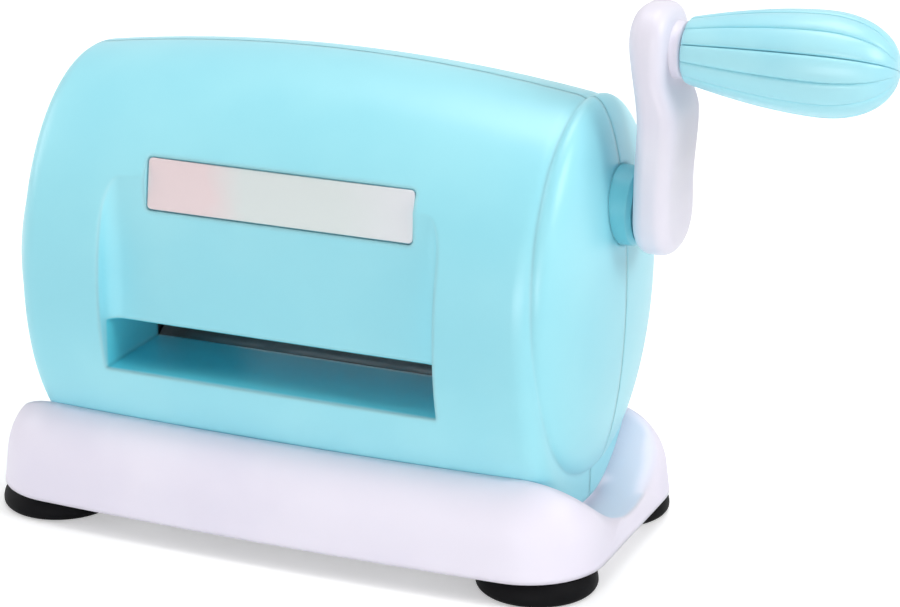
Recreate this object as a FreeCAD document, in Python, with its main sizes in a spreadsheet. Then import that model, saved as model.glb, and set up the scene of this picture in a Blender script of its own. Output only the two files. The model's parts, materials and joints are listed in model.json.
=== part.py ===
import FreeCAD
import Part
import math
import os
import re
import Sketcher
from FreeCAD import Placement, Rotation, Vector

# A hand-cranked die cutting machine: a lofted barrel housing on a cradle base with four
# suction cups, a pair of geared rollers behind the feed slot, and a crank with a free grip.
# +X runs along the rollers towards the crank, +Y to the rear, +Z up. The origin lies on the
# table, below the middle of the base. Lengths are millimetres and angles degrees.

doc = FreeCAD.newDocument("DieCuttingMachine")
sheet = doc.addObject("Spreadsheet::Sheet", "Sizes")

# Driving sizes: name, value, what it is.
DRIVING = (
    # feed slot and throat
    ("slot_width", 80, "clear width of the feed slot"),
    ("slot_floor", 39, "height of the slot's floor above the table"),
    ("slot_height", 11, "height of the slot's mouth"),
    ("panel_y", 30.5, "recessed front panel, distance from the middle plane"),
    ("panel_corner", 3.5, "hollow round between the panel and its cheeks"),
    ("throat_gap", 0.6, "throat's inner end to the rollers"),
    # barrel housing
    ("wall", 2.5, "moulded wall of the housing and the base"),
    ("left_rim", 61.1, "barrel's left rim from the middle"),
    ("right_rim", 62.5, "barrel's right rim from the middle"),
    ("barrel_ry", 36, "barrel's half depth"),
    ("barrel_rz", 52.2, "barrel's half height at the middle"),
    ("barrel_z", 56.2, "height of the barrel's centre line"),
    ("crown_z", 5.2, "loss of half height from the middle to the right rim"),
    ("rim_round", 5, "round of the barrel's two rims"),
    ("left_rise", 12.2, "left dome's tip beyond its rim"),
    ("left_depth", 19.9, "left dome's half axis along the barrel"),
    ("left_inset_y", 4, "left dome's half depth less than the barrel's"),
    ("left_inset_z", 13.3, "left dome's half height less than the barrel's"),
    ("right_rise", 7.7, "right dome's tip beyond its rim"),
    ("right_depth", 8.4, "right dome's half axis along the barrel"),
    ("right_inset_y", 2.1, "right dome's half depth less than the barrel's"),
    ("right_inset_z", 9.8, "right dome's half height less than the barrel's"),
    ("right_lift", 5.2, "right dome's centre above the barrel's"),
    ("seam_width", 0.3, "parting groove between the shells"),
    ("seam_depth", 0.35, "depth of the parting groove"),
    ("seat_z", 12, "level of the housing's flat underside"),
    ("housing_floor", 2, "thickness of the housing's flat bottom"),
    # bare plate in the front
    ("label_x", 1.4, "plate's middle to the right of the slot's"),
    ("label_length", 63.3, "plate's length"),
    ("label_height", 11.4, "plate's height"),
    ("label_thick", 0.8, "plate's thickness"),
    ("label_mid_z", 81.8, "height of the plate's middle"),
    ("label_sink", 1.15, "middle of the plate's face behind the panel"),
    ("label_tilt", 8.6, "plate's lean to the rear"),
    ("label_corner", 1, "round of the plate's corners"),
    ("label_gap", 0.3, "gap all round the plate"),
    ("label_floor", 2, "housing wall behind the plate"),
    # base and cups
    ("base_length", 147, "base footprint along the rollers"),
    ("base_width", 77.8, "base footprint front to rear"),
    ("base_corner", 18, "base corner radius in plan"),
    ("base_bow", 1100, "radius of the bowed long sides in plan"),
    ("base_rise", 19.7, "height of the base"),
    ("base_taper", 6.8, "lean of the base's sides"),
    ("base_round", 15, "round along the base's top edge"),
    ("trough_gap", 0.3, "barrel to its trough in the base"),
    ("valley_z", 9.5, "level of the trough's open ends"),
    ("bottom_plate_thick", 2, "thickness of the bottom plate"),
    ("bottom_plate_gap", 0.2, "gap round the bottom plate"),
    ("cup_height", 5.6, "base's clearance above the table"),
    ("cup_radius", 13.4, "suction cup's rim radius"),
    ("cup_shoulder", 11.4, "suction cup's radius under the base"),
    ("cup_lip", 1.2, "flat rim the cup rests on"),
    ("cup_edge", 1.5, "round of the cup's outer edge"),
    ("cup_hollow", 2.6, "depth of the cup's hollow"),
    ("cup_inset_x", 14.3, "cup's centre from the base's end"),
    ("cup_inset_y", 15.7, "cup's centre from the base's side"),
    ("cup_neck", 4, "cup's neck radius"),
    ("cup_head", 5.2, "cup's snap head radius"),
    ("cup_head_height", 2, "cup's snap head height"),
    # frame
    ("plate_thick", 3, "frame side plate thickness"),
    ("plate_gap", 0.5, "throat's cheek to the side plate"),
    ("plate_half", 14.5, "half width of a side plate"),
    ("foot_length", 13, "foot of a side plate"),
    ("tie_radius", 3, "tie rod radius"),
    ("tie_y", 10, "tie rod's distance from the middle plane"),
    ("tie_drop", 11.5, "tie rods below the crank's axis"),
    # rollers and bushes
    ("roller_radius", 9, "roller radius"),
    ("roller_proud", 0.5, "lower roller's crest above the slot's floor"),
    ("nip_gap", 8.15, "gap between the rollers"),
    ("roller_end_gap", 0.5, "roller's end to the side plate"),
    ("journal_radius", 4, "roller shaft radius"),
    ("run_gap", 0.05, "running clearance of a shaft, all round"),
    ("bush_wall", 2, "bush wall"),
    ("bush_flange", 2, "bush flange beyond its wall"),
    ("head_clear", 0.4, "gears clear of the tie screws' heads"),
    ("ring_thick", 0.8, "retaining ring thickness"),
    ("ring_width", 2.2, "retaining ring width"),
    ("ring_sink", 0.7, "depth of a ring's groove"),
    ("ring_play", 0.1, "ring's clearance along the shaft"),
    ("shaft_end", 1.2, "shaft beyond its ring"),
    # gears
    ("gear_width", 6, "face width of the gears"),
    ("gear_side_gap", 0.3, "gear to the bush's flange"),
    ("mesh_play", 0.15, "extra centre distance of meshing gears"),
    ("pressure_angle", 25, "gear pressure angle"),
    ("roller_teeth", 20, "teeth of each roller gear"),
    ("pinion_teeth", 12, "teeth of the crank's pinion"),
    ("drive_teeth", 36, "teeth of the drive gear"),
    ("crank_rise", 24.15, "crank's axis above the upper roller"),
    ("flat_sink", 0.9, "depth of the flat on a keyed shaft"),
    ("key_gap", 0.02, "keyed bore's clearance"),
    # crank
    ("shaft_radius", 5, "crank shaft radius in its collar"),
    ("crank_journal", 3, "crank shaft radius in the frame"),
    ("collar_radius", 8.6, "shaft collar radius"),
    ("collar_flange", 1.9, "collar flange beyond the collar"),
    ("collar_flange_thick", 2, "collar flange thickness"),
    ("collar_seat", 0.5, "collar's seat inside the rim's plane"),
    ("collar_gap", 0.05, "collar in the housing, all round"),
    ("arm_stand", 3.6, "crank arm beyond the dome's tip"),
    ("arm_face_gap", 0.4, "collar's face to the arm"),
    ("arm_thick", 8.3, "crank arm thickness"),
    ("arm_half", 9.6, "half width of the arm's ends"),
    ("arm_waist", 0.9, "loss of half width at the arm's middle"),
    ("arm_bow", 1.2, "bow of the arm away from the housing"),
    ("arm_crest", 0.58, "crest of the bow as a share of the throw"),
    ("arm_lean", 1.9, "lean of the arm's top to the housing"),
    ("arm_round", 3.2, "round of the arm's edges"),
    ("arm_socket", 4.6, "depth of the shaft's socket in the arm"),
    ("throw", 35.2, "crank's axis to the grip's axis"),
    # grip
    ("grip_length", 46.2, "grip length"),
    ("grip_neck", 6.9, "grip radius at the arm"),
    ("grip_belly", 11.1, "grip's largest radius"),
    ("grip_belly_x", 31, "largest radius from the arm's end"),
    ("grip_groove", 0.8, "depth of the grip's grooves"),
    ("grip_groove_angle", 3.6, "width of a groove as an angle"),
    ("grip_flutes", 12, "flutes round the grip"),
    ("grip_seam", 23, "seam's turn above the horizontal"),
    ("grip_gap", 0.35, "grip's end to the arm's boss"),
    ("boss_radius", 6, "arm's boss under the grip"),
    ("boss_height", 1.1, "boss beyond the arm's face"),
    ("pin_radius", 2.5, "grip pin radius"),
    ("pin_head", 4, "grip pin's head radius"),
    ("pin_head_thick", 2, "grip pin's head thickness"),
    ("pin_reach", 24, "grip pin's head from the grip's end"),
    ("pin_seat", 4.5, "grip pin's depth in the arm"),
    # fasteners
    ("screw_radius", 1.5, "screw shank radius"),
    ("screw_head", 2.8, "screw head radius"),
    ("screw_head_height", 1.8, "screw head height"),
    ("screw_gap", 0.1, "screw in its hole, all round"),
    ("boss_wall", 2, "wall of a screw boss"),
    ("plate_screw", 8, "bottom plate screw's length"),
    ("tie_screw", 8, "tie rod screw's length"),
    ("housing_head_y", 8, "housing screw's head seat from the middle plane"),
    ("housing_bite", 7, "housing screw's depth in the front shell"),
    ("low_boss_x", 22, "lower housing bosses from the middle"),
    ("post_x", 34, "bottom plate posts from the middle"),
    ("post_y", 28.5, "bottom plate posts from the middle plane"),
)

# Sizes that follow from the driving ones.
FOLLOWING = (
    ("barrel_top", "barrel_z + barrel_rz"),
    ("left_tip", "left_rim + left_rise"),
    ("right_tip", "right_rim + right_rise"),
    ("cradle_half", "base_length / 2 + wall"),
    ("base_z", "cup_height"),
    ("plate_top", "base_z + bottom_plate_thick"),
    ("cup_x", "base_length / 2 - cup_inset_x"),
    ("cup_y", "base_width / 2 - cup_inset_y"),
    ("inner_floor", "seat_z + housing_floor"),
    ("slot_top", "slot_floor + slot_height"),
    ("throat_half", "slot_width / 2 + wall"),
    ("throat_end", "roller_radius + throat_gap"),
    ("plate_x", "throat_half + plate_gap"),
    ("plate_out", "plate_x + plate_thick"),
    ("bush_flange_thick", "screw_head_height + head_clear"),
    ("flange_x", "plate_out + bush_flange_thick"),
    ("gear_x", "flange_x + gear_side_gap"),
    ("gear_out", "gear_x + gear_width"),
    ("roller_half", "plate_x - roller_end_gap"),
    ("lower_z", "slot_floor + roller_proud - roller_radius"),
    ("roller_pitch", "2 * roller_radius + nip_gap"),
    ("upper_z", "lower_z + roller_pitch"),
    ("roller_module", "(roller_pitch - mesh_play) / roller_teeth"),
    ("crank_z", "upper_z + crank_rise"),
    ("drive_module", "2 * (crank_rise - mesh_play) / (pinion_teeth + drive_teeth)"),
    ("geared_ring", "gear_out + ring_play"),
    ("plain_ring", "flange_x + ring_play"),
    ("bush_outer", "journal_radius + run_gap + bush_wall"),
    ("crank_bush_outer", "crank_journal + run_gap + bush_wall"),
    ("collar_bore", "shaft_radius + run_gap"),
    ("collar_x", "right_rim - collar_seat"),
    ("arm_x", "right_tip + arm_stand"),
    ("arm_out", "arm_x + arm_thick"),
    ("grip_z", "crank_z + throw"),
    ("boss_out", "arm_out - arm_lean + boss_height"),
    ("grip_x", "boss_out + grip_gap"),
    ("pin_bore", "pin_radius + run_gap"),
    ("label_y", "panel_y - label_sink"),
    ("tie_z", "crank_z - tie_drop"),
    ("boss_outer", "screw_radius + boss_wall"),
    ("sunk_boss", "screw_head + screw_gap + boss_wall"),
    ("low_boss_z", "inner_floor + boss_wall"),
    ("high_boss_x", "plate_out + sunk_boss + wall / 2"),
    ("high_boss_z", "barrel_top - 2 * sunk_boss"),
    ("frame_head_z", "plate_top + screw_head_height + 2 * screw_gap"),
)

ALIASES = set()


def fill_sheet():
    """Writes every size into the sheet with its alias."""
    row = 0
    for alias, number, note in DRIVING:
        row += 1
        sheet.set(f"A{row}", note)
        sheet.set(f"B{row}", str(number))
        sheet.setAlias(f"B{row}", alias)
        ALIASES.add(alias)
    for alias, formula in FOLLOWING:
        row += 1
        sheet.set(f"A{row}", alias.replace("_", " "))
        sheet.set(f"B{row}", "=" + formula)
        sheet.setAlias(f"B{row}", alias)
        ALIASES.add(alias)
    doc.recompute()


def cell(formula):
    """A formula with its sizes pointed at the sheet."""
    def point(match):
        word = match.group(0)
        return f"Sizes.{word}" if word in ALIASES else word
    return re.sub(r"[a-z_]+[a-z0-9_]*", point, formula)


def value(formula):
    """The present value of a formula."""
    return float(sheet.evalExpression(cell(formula)))


# Helpers shared by the sub-parts.

def bind(thing, **formulas):
    """Ties properties of an object to formulas; a double underscore stands for a dot."""
    for name, formula in formulas.items():
        thing.setExpression(name.replace("__", "."), cell(formula))
    return thing


def place(thing, x="0", y="0", z="0", turn=None):
    """Puts an object at a formula for each axis, turned if asked."""
    if turn:
        thing.Placement = Placement(Vector(0, 0, 0), turn)
    return bind(thing, Placement__Base__x=x, Placement__Base__y=y, Placement__Base__z=z)


def origin_plane(body, role):
    return next(item for item in body.Origin.OriginFeatures if item.Role == role)


def sketch_on(body, role, offset=None):
    """A sketch on one of the body's own planes, moved along its normal if asked."""
    sketch = body.newObject("Sketcher::SketchObject", body.Name + "_sketch")
    sketch.AttachmentSupport = [(origin_plane(body, role), "")]
    sketch.MapMode = "FlatFace"
    if offset:
        bind(sketch, AttachmentOffset__Base__z=offset)
    return sketch


def limit(sketch, kind, formula, *ends):
    """A driving dimension of a sketch, bound to a formula."""
    index = sketch.addConstraint(Sketcher.Constraint(kind, *ends, value(formula)))
    sketch.setExpression(f"Constraints[{index}]", cell(formula))


def hold(sketch, edge, end, x, y):
    """Holds one end of an edge at a pair of formulas."""
    for kind, axis, formula in (("DistanceX", -2, x), ("DistanceY", -1, y)):
        if formula == "0":
            sketch.addConstraint(Sketcher.Constraint("PointOnObject", edge, end, axis))
        else:
            limit(sketch, kind, formula, -1, 1, edge, end)


def outline(sketch, corners):
    """
    Closes a loop through corners given as (x, y) formulas. A third entry makes the edge to the
    next corner an arc of that radius, and a fourth says which side of the way it bulges to:
    1 is the left and -1 the right.
    """
    spots = [Vector(value(corner[0]), value(corner[1]), 0) for corner in corners]
    first = int(sketch.GeometryCount)
    count = len(corners)
    for index, corner in enumerate(corners):
        start = spots[index]
        end = spots[(index + 1) % count]
        if len(corner) > 2:
            sketch.addGeometry(arc_between(start, end, value(corner[2]), corner[3]))
        else:
            sketch.addGeometry(Part.LineSegment(start, end))
    for index, corner in enumerate(corners):
        ends = edge_ends(corner)
        following = (index + 1) % count
        next_start = edge_ends(corners[following])[0]
        sketch.addConstraint(
            Sketcher.Constraint("Coincident", first + index, ends[1], first + following, next_start)
        )
    for index, corner in enumerate(corners):
        hold(sketch, first + index, edge_ends(corner)[0], corner[0], corner[1])
        if len(corner) > 2:
            limit(sketch, "Radius", corner[2], first + index)


def edge_ends(corner):
    """Point numbers of an edge's start and end; a sketch counts every arc anticlockwise."""
    clockwise = len(corner) > 2 and corner[3] > 0
    return (2, 1) if clockwise else (1, 2)


def arc_between(start, end, radius, side):
    """The short arc between two points, bulging to one side of the way."""
    middle = (start + end) * 0.5
    way = end - start
    left = Vector(-way.y, way.x, 0).normalize()
    half = way.Length / 2
    reach = math.sqrt(max(radius * radius - half * half, 0))
    crest = middle + left * (side * (radius - reach))
    return Part.Arc(start, crest, end)


def round_hole(sketch, x, y, radius):
    """A circle held at formulas."""
    circle = Part.Circle(Vector(value(x), value(y), 0), Vector(0, 0, 1), value(radius))
    edge = sketch.addGeometry(circle)
    hold(sketch, edge, 3, x, y)
    limit(sketch, "Radius", radius, edge)


def pad(body, sketch, length, both_ways=False, back=False):
    """Extrudes a sketch along its normal."""
    feature = body.newObject("PartDesign::Pad", body.Name + "_pad")
    feature.Profile = sketch
    bind(feature, Length=length)
    feature.Midplane = both_ways
    feature.Reversed = back
    doc.recompute()
    return feature


def pocket(body, sketch, length, both_ways=False, back=False):
    """Cuts a sketch's outline out of the body, and makes sure that something was cut."""
    before = body.Shape.Volume
    feature = body.newObject("PartDesign::Pocket", body.Name + "_pocket")
    feature.Profile = sketch
    bind(feature, Length=length)
    feature.Midplane = both_ways
    feature.Reversed = back
    doc.recompute()
    if not body.Shape.Volume < before:
        raise RuntimeError(f"{feature.Name} cuts nothing")
    return feature


def turned(label, corners, axis="H_Axis", angle=360):
    """A body turned from a half profile about its own X axis, or Z axis with V_Axis."""
    body = doc.addObject("PartDesign::Body", label)
    sketch = sketch_on(body, "XZ_Plane")
    outline(sketch, corners)
    feature = body.newObject("PartDesign::Revolution", label + "_turning")
    feature.Profile = sketch
    feature.ReferenceAxis = (sketch, [axis])
    feature.Angle = angle
    doc.recompute()
    return body


def block(label, x, y, z):
    """A plain box between pairs of formulas, for trimming."""
    box = doc.addObject("Part::Box", label)
    bind(box, Length=f"{x[1]} - ({x[0]})", Width=f"{y[1]} - ({y[0]})", Height=f"{z[1]} - ({z[0]})")
    return place(box, x[0], y[0], z[0])


def rod(label, radius, length, x="0", y="0", z="0", along="Z"):
    """A plain cylinder along an axis."""
    turns = {
        "X": Rotation(Vector(0, 1, 0), 90),
        "Y": Rotation(Vector(1, 0, 0), -90),
        "Z": None,
    }
    cylinder = doc.addObject("Part::Cylinder", label)
    bind(cylinder, Radius=radius, Height=length)
    return place(cylinder, x, y, z, turns[along])


def joined(label, *shapes):
    fuse = doc.addObject("Part::MultiFuse", label)
    fuse.Shapes = list(shapes)
    fuse.Refine = True
    doc.recompute()
    return fuse


def shared(label, *shapes):
    common = doc.addObject("Part::MultiCommon", label)
    common.Shapes = list(shapes)
    doc.recompute()
    return common


def cut(label, base, *tools):
    """Base less its tools, and makes sure that something was cut."""
    tool = tools[0] if len(tools) == 1 else joined(label + "_tools", *tools)
    result = doc.addObject("Part::Cut", label)
    result.Base = base
    result.Tool = tool
    result.Refine = False
    doc.recompute()
    if not result.Shape.Volume < base.Shape.Volume:
        raise RuntimeError(f"{label} cuts nothing")
    return result


def group(label, members):
    """Several separate solids in one node."""
    compound = doc.addObject("Part::Compound", label)
    compound.Links = members
    doc.recompute()
    return compound


# Barrel forms: the same lofted barrel serves the housing's outside, its hollow and the trough.

def barrel(label, left, right, grow):
    """A barrel lofted through three ellipses whose heights lie on the crown's parabola."""
    rings = []
    for x in (f"-({left})", "0", f"({right})"):
        ring = doc.addObject("Part::Ellipse", f"{label}_ring")
        bind(
            ring,
            MajorRadius=f"barrel_rz + ({grow}) - crown_z * ({x} / right_rim) ^ 2",
            MinorRadius=f"barrel_ry + ({grow})",
        )
        place(ring, x, "0", "barrel_z", Rotation(Vector(0, 1, 0), 90))
        rings.append(ring)
    loft = doc.addObject("Part::Loft", label)
    loft.Sections = rings
    loft.Solid = True
    doc.recompute()
    return loft


def dome(label, hand, inset):
    """The ellipsoid that bulges from one end of the barrel."""
    right = hand == "right"
    shape = doc.addObject("Part::Ellipsoid", label)
    bind(
        shape,
        Radius1=f"barrel_rz - {hand}_inset_z - {inset}",
        Radius2=f"{hand}_depth - {inset}",
        Radius3=f"barrel_ry - {hand}_inset_y - {inset}",
    )
    if right:
        turn = Rotation(Vector(0, 0, 1), 180)
        return place(shape, "right_tip - right_depth", "0", "barrel_z + right_lift", turn)
    return place(shape, "left_depth - left_tip", "0", "barrel_z")


def capped_barrel(label, inset):
    """The barrel with its rims rounded and a dome on each end, inset all over."""
    left = f"left_rim - {inset}"
    right = f"right_rim - {inset}"
    loft = barrel(label + "_loft", left, right, f"-{inset}")
    rims = doc.addObject("Part::Fillet", label + "_rims")
    rims.Base = loft
    radius = value(f"rim_round - {inset}")
    rims.Edges = [
        (index, radius, radius)
        for index, edge in enumerate(loft.Shape.Edges, 1)
        if edge.BoundBox.XLength < 1e-3
    ]
    return joined(label, rims, dome(label + "_left", "left", inset), dome(label + "_right", "right", inset))


# Housing: two shells that meet on the middle plane, the plate in the front and the shaft's collar.

def panel_recess():
    """The hollow of the recessed panel, its corners rounded where panel and cheeks meet."""
    body = doc.addObject("PartDesign::Body", "panel_recess")
    sketch = sketch_on(body, "XY_Plane", "slot_floor")
    outline(sketch, (
        ("-slot_width / 2", "-2 * barrel_ry"),
        ("slot_width / 2", "-2 * barrel_ry"),
        ("slot_width / 2", "-panel_y - panel_corner", "panel_corner", -1),
        ("slot_width / 2 - panel_corner", "-panel_y"),
        ("panel_corner - slot_width / 2", "-panel_y", "panel_corner", -1),
        ("-slot_width / 2", "-panel_y - panel_corner"),
    ))
    pad(body, sketch, "barrel_rz")
    return body


def tilted_plate(label, grow, front):
    """A rectangle that leans with the bare plate, from the plate's back to past its face."""
    body = doc.addObject("PartDesign::Body", label)
    sketch = sketch_on(body, "XZ_Plane", "-label_thick")
    side = f"(label_length / 2 + {grow})"
    top = f"(label_height / 2 + {grow})"
    corner = f"(label_corner + {grow})"
    short = f"({side} - {corner})"
    low = f"({top} - {corner})"
    outline(sketch, (
        (f"-{short}", f"-{top}"),
        (short, f"-{top}", corner, -1),
        (side, f"-{low}"),
        (side, low, corner, -1),
        (short, top),
        (f"-{short}", top, corner, -1),
        (f"-{side}", low),
        (f"-{side}", f"-{low}", corner, -1),
    ))
    pad(body, sketch, f"label_thick + {front}")
    place(body, "label_x", "-label_y", "label_mid_z", Rotation(Vector(1, 0, 0), 1))
    bind(body, Placement__Rotation__Angle="-label_tilt * 1 deg")
    return body


def housing_screw_spots():
    """Where the shells are screwed together: two low between the feet, two high past the plates."""
    return [
        (f"{side} * {level}_boss_x", f"{level}_boss_z")
        for side in ("-1", "1")
        for level in ("low", "high")
    ]


def housing_bosses(label, radius, from_y, to_y):
    """Rods at the four screws that hold the shells together."""
    rods = []
    for x, z in housing_screw_spots():
        rods.append(rod(label, radius, f"{to_y} - ({from_y})", x, from_y, z, "Y"))
    return rods


def frame_screw_spots():
    """Where the frame's feet are screwed down through the housing's floor."""
    return [
        (f"{side} * (plate_x - foot_length / 2)", f"{end} * plate_half * 0.6")
        for side in ("-1", "1")
        for end in ("-1", "1")
    ]


def half_housing():
    """The front half: wall, floor, feed throat, panel, screw bosses and the collar's seat."""
    wide = ("-2 * left_tip", "2 * right_tip")
    front = block("front_space", wide, ("-2 * barrel_ry", "0"), ("seat_z", "2 * barrel_top"))
    form = shared("front_form", capped_barrel("outside", "0"), front)
    wall = cut("front_wall", form, capped_barrel("hollow", "wall"))

    across = ("-throat_half", "throat_half")
    deep = ("-barrel_ry", "0")
    panel_top = "barrel_z + barrel_rz * sqrt(1 - ((panel_y - wall) / barrel_ry) ^ 2)"
    label_back = "label_y - label_thick - label_floor - label_height / 2 * sin(label_tilt * 1 deg)"
    label_half = "label_length / 2 + wall"
    label_rise = "label_height / 2 + wall"
    seat_radius = "collar_radius + collar_flange + wall / 2"
    added = [
        block("floor", wide, deep, ("seat_z", "inner_floor")),
        block("throat", across, ("-barrel_ry", "-throat_end"), ("slot_floor - wall", "slot_top + wall")),
        block("panel", across, ("-barrel_ry", "wall - panel_y"), ("slot_top", panel_top)),
        block(
            "label_back",
            (f"label_x - ({label_half})", f"label_x + {label_half}"),
            ("-barrel_ry", f"-({label_back})"),
            (f"label_mid_z - ({label_rise})", f"label_mid_z + {label_rise}"),
        ),
        rod("collar_seat", seat_radius, "right_tip - collar_x", "collar_x", "0", "crank_z", "X"),
    ]
    added += housing_bosses("boss", "sunk_boss", "-barrel_ry", "0")
    additions = shared("front_additions", joined("additions", *added), front)
    ribs = shared("ribs", capped_barrel("rib_bound", "wall / 2"), additions)
    whole = joined("front_whole", wall, ribs)

    mouth = ("-slot_width / 2", "slot_width / 2")
    slot = block("slot", mouth, ("-2 * barrel_ry", "0"), ("slot_floor", "slot_top"))
    reach = "collar_radius + collar_gap"
    bore = rod("collar_hole", reach, "2 * right_rise", "right_rim - right_rise", "0", "crank_z", "X")
    holes = [
        rod("floor_hole", "screw_radius + screw_gap", "housing_floor", x, y, "seat_z")
        for x, y in frame_screw_spots()
    ]
    opened = cut("front_open", whole, panel_recess(), slot, bore, *holes)
    middle = ("-seam_width / 2", "seam_width / 2")
    slab = block("seam_slab", wide, middle, ("0", "2 * barrel_top"))
    return cut("front_half", opened, cut("seam_ring", slab, capped_barrel("seam_floor", "seam_depth")))


def shells():
    """Front shell with the plate's recess and blind screw holes; rear shell with sunk heads."""
    half = half_housing()
    mirror = doc.addObject("Part::Mirroring", "rear_half")
    mirror.Source = half
    mirror.Normal = Vector(0, 1, 0)
    doc.recompute()
    blind = housing_bosses("blind_hole", "screw_radius + screw_gap", "-housing_bite", "0")
    front = cut("front_shell", half, tilted_plate("label_recess", "label_gap", "label_sink * 3"), *blind)
    clear = housing_bosses("clear_hole", "screw_radius + screw_gap", "0", "barrel_ry")
    sunk = housing_bosses("sunk_head", "screw_head + screw_gap", "housing_head_y", "barrel_ry")
    rear = cut("rear_shell", mirror, *clear, *sunk)
    label = tilted_plate("label_plate", "0", "0")
    return [front, rear, label]


def shaft_collar():
    """Flanged collar held between the shells; the crank's shaft runs in it."""
    flange = "collar_radius + collar_flange"
    face = "arm_x - arm_face_gap"
    body = turned("shaft_collar", (
        ("collar_x - collar_flange_thick", "collar_bore"),
        ("collar_x", "collar_bore"),
        (face, "collar_bore"),
        (face, "collar_radius - collar_flange / 2"),
        (f"{face} - collar_flange / 2", "collar_radius"),
        ("collar_x", "collar_radius"),
        ("collar_x", flange),
        ("collar_x - collar_flange_thick", flange),
    ))
    return [place(body, "0", "0", "crank_z")]


# Base: a cradle moulding on a bottom plate with four suction cups.

def base_outline(sketch, inset):
    """Plan of the base: bowed long sides, straight ends and tangent corner arcs, inset all round."""
    half = f"(base_length / 2 - ({inset}))"
    depth = f"(base_width / 2 - ({inset}))"
    corner = f"(base_corner - ({inset}))"
    bow = f"(base_bow - ({inset}))"
    centre_x = f"({half} - {corner})"
    centre_y = f"(sqrt(({bow} - {corner}) ^ 2 - {centre_x} ^ 2) - {bow} + {depth})"
    reach = f"({bow} / ({bow} - {corner}))"
    touch_x = f"({centre_x} * {reach})"
    touch_y = f"(({centre_y} + {bow} - {depth}) * {reach} - {bow} + {depth})"
    outline(sketch, (
        (f"-{touch_x}", f"-{touch_y}", bow, -1),
        (touch_x, f"-{touch_y}", corner, -1),
        (half, f"-{centre_y}"),
        (half, centre_y, corner, -1),
        (touch_x, touch_y, bow, -1),
        (f"-{touch_x}", touch_y, corner, -1),
        (f"-{half}", centre_y),
        (f"-{half}", f"-{centre_y}", corner, -1),
    ))


def base_form(label, inset, drop):
    """The base as a solid with tapered sides and a rounded top edge, inset all over."""
    body = doc.addObject("PartDesign::Body", label)
    sketch = sketch_on(body, "XY_Plane", "base_z")
    base_outline(sketch, inset)
    rise = pad(body, sketch, f"base_rise - {drop}")
    bind(rise, TaperAngle="-base_taper")
    doc.recompute()
    top = value(f"base_z + base_rise - {drop}")
    edges = [
        f"Edge{index}"
        for index, edge in enumerate(rise.Shape.Edges, 1)
        if abs(edge.BoundBox.ZMin - top) < 1e-3
    ]
    rounding = body.newObject("PartDesign::Fillet", label + "_round")
    rounding.Base = (rise, edges)
    bind(rounding, Radius=f"base_round - {drop}")
    doc.recompute()
    return body


def plate_posts(label, radius, low, high):
    """Rods at the four screws of the bottom plate."""
    return [
        rod(label, radius, f"{high} - ({low})", f"{side} * post_x", f"{end} * post_y", low)
        for side in ("-1", "1")
        for end in ("-1", "1")
    ]


def base_shell():
    """Hollow cradle: outer skin, trough wall, seat for the housing, posts and screw holes."""
    wide = ("-base_length", "base_length")
    deep = ("-base_width", "base_width")
    spaces = [block("seat_space", wide, deep, ("seat_z", "2 * barrel_top"))]
    for side in (("-base_length", "wall - left_rim"), ("right_rim - wall", "base_length")):
        spaces.append(block("valley_space", side, deep, ("valley_z", "2 * barrel_top")))
    trough = barrel("trough", "cradle_half", "cradle_half", "trough_gap")
    trough_cut = shared("trough_cut", trough, joined("trough_spaces", *spaces))
    form = cut("base_troughed", base_form("base_form", "0", "0"), trough_cut)

    hollow = base_form("base_hollow", "wall / cos(base_taper * 1 deg)", "wall")
    above = block("above_plate", wide, deep, ("plate_top", "base_z + base_rise"))
    below = block("below_plate", wide, deep, ("0", "plate_top"))
    thicker = barrel("cradle_form", "cradle_half", "cradle_half", "trough_gap + wall")
    under_trough = cut("under_trough", shared("upper_hollow", hollow, above), thicker)
    posts = plate_posts("post", "boss_outer", "plate_top", "base_z + base_rise")
    room = cut("base_room", under_trough, *posts)
    whole = cut("base_open", cut("base_roomed", form, room), shared("plate_space", hollow, below))

    holes = plate_posts("post_hole", "screw_radius + screw_gap", "plate_top", "plate_top + plate_screw")
    for x, y in frame_screw_spots():
        holes.append(rod("seat_hole", "screw_radius + screw_gap", "seat_z - base_z", x, y, "base_z"))
        holes.append(rod("head_hole", "screw_head + screw_gap", "frame_head_z - base_z", x, y, "base_z"))
    return [cut("base_shell", whole, *holes)]


def bottom_plate():
    """Flat cover inside the base's rim, holed for the cups and its screws."""
    body = doc.addObject("PartDesign::Body", "bottom_plate")
    sketch = sketch_on(body, "XY_Plane", "base_z")
    lean = "wall / cos(base_taper * 1 deg) + bottom_plate_thick * tan(base_taper * 1 deg)"
    base_outline(sketch, f"{lean} + bottom_plate_gap")
    for side in ("-1", "1"):
        for end in ("-1", "1"):
            round_hole(sketch, f"{side} * cup_x", f"{end} * cup_y", "cup_neck + screw_gap")
            round_hole(sketch, f"{side} * post_x", f"{end} * post_y", "screw_radius + screw_gap")
    pad(body, sketch, "bottom_plate_thick")
    return [body]


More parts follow.
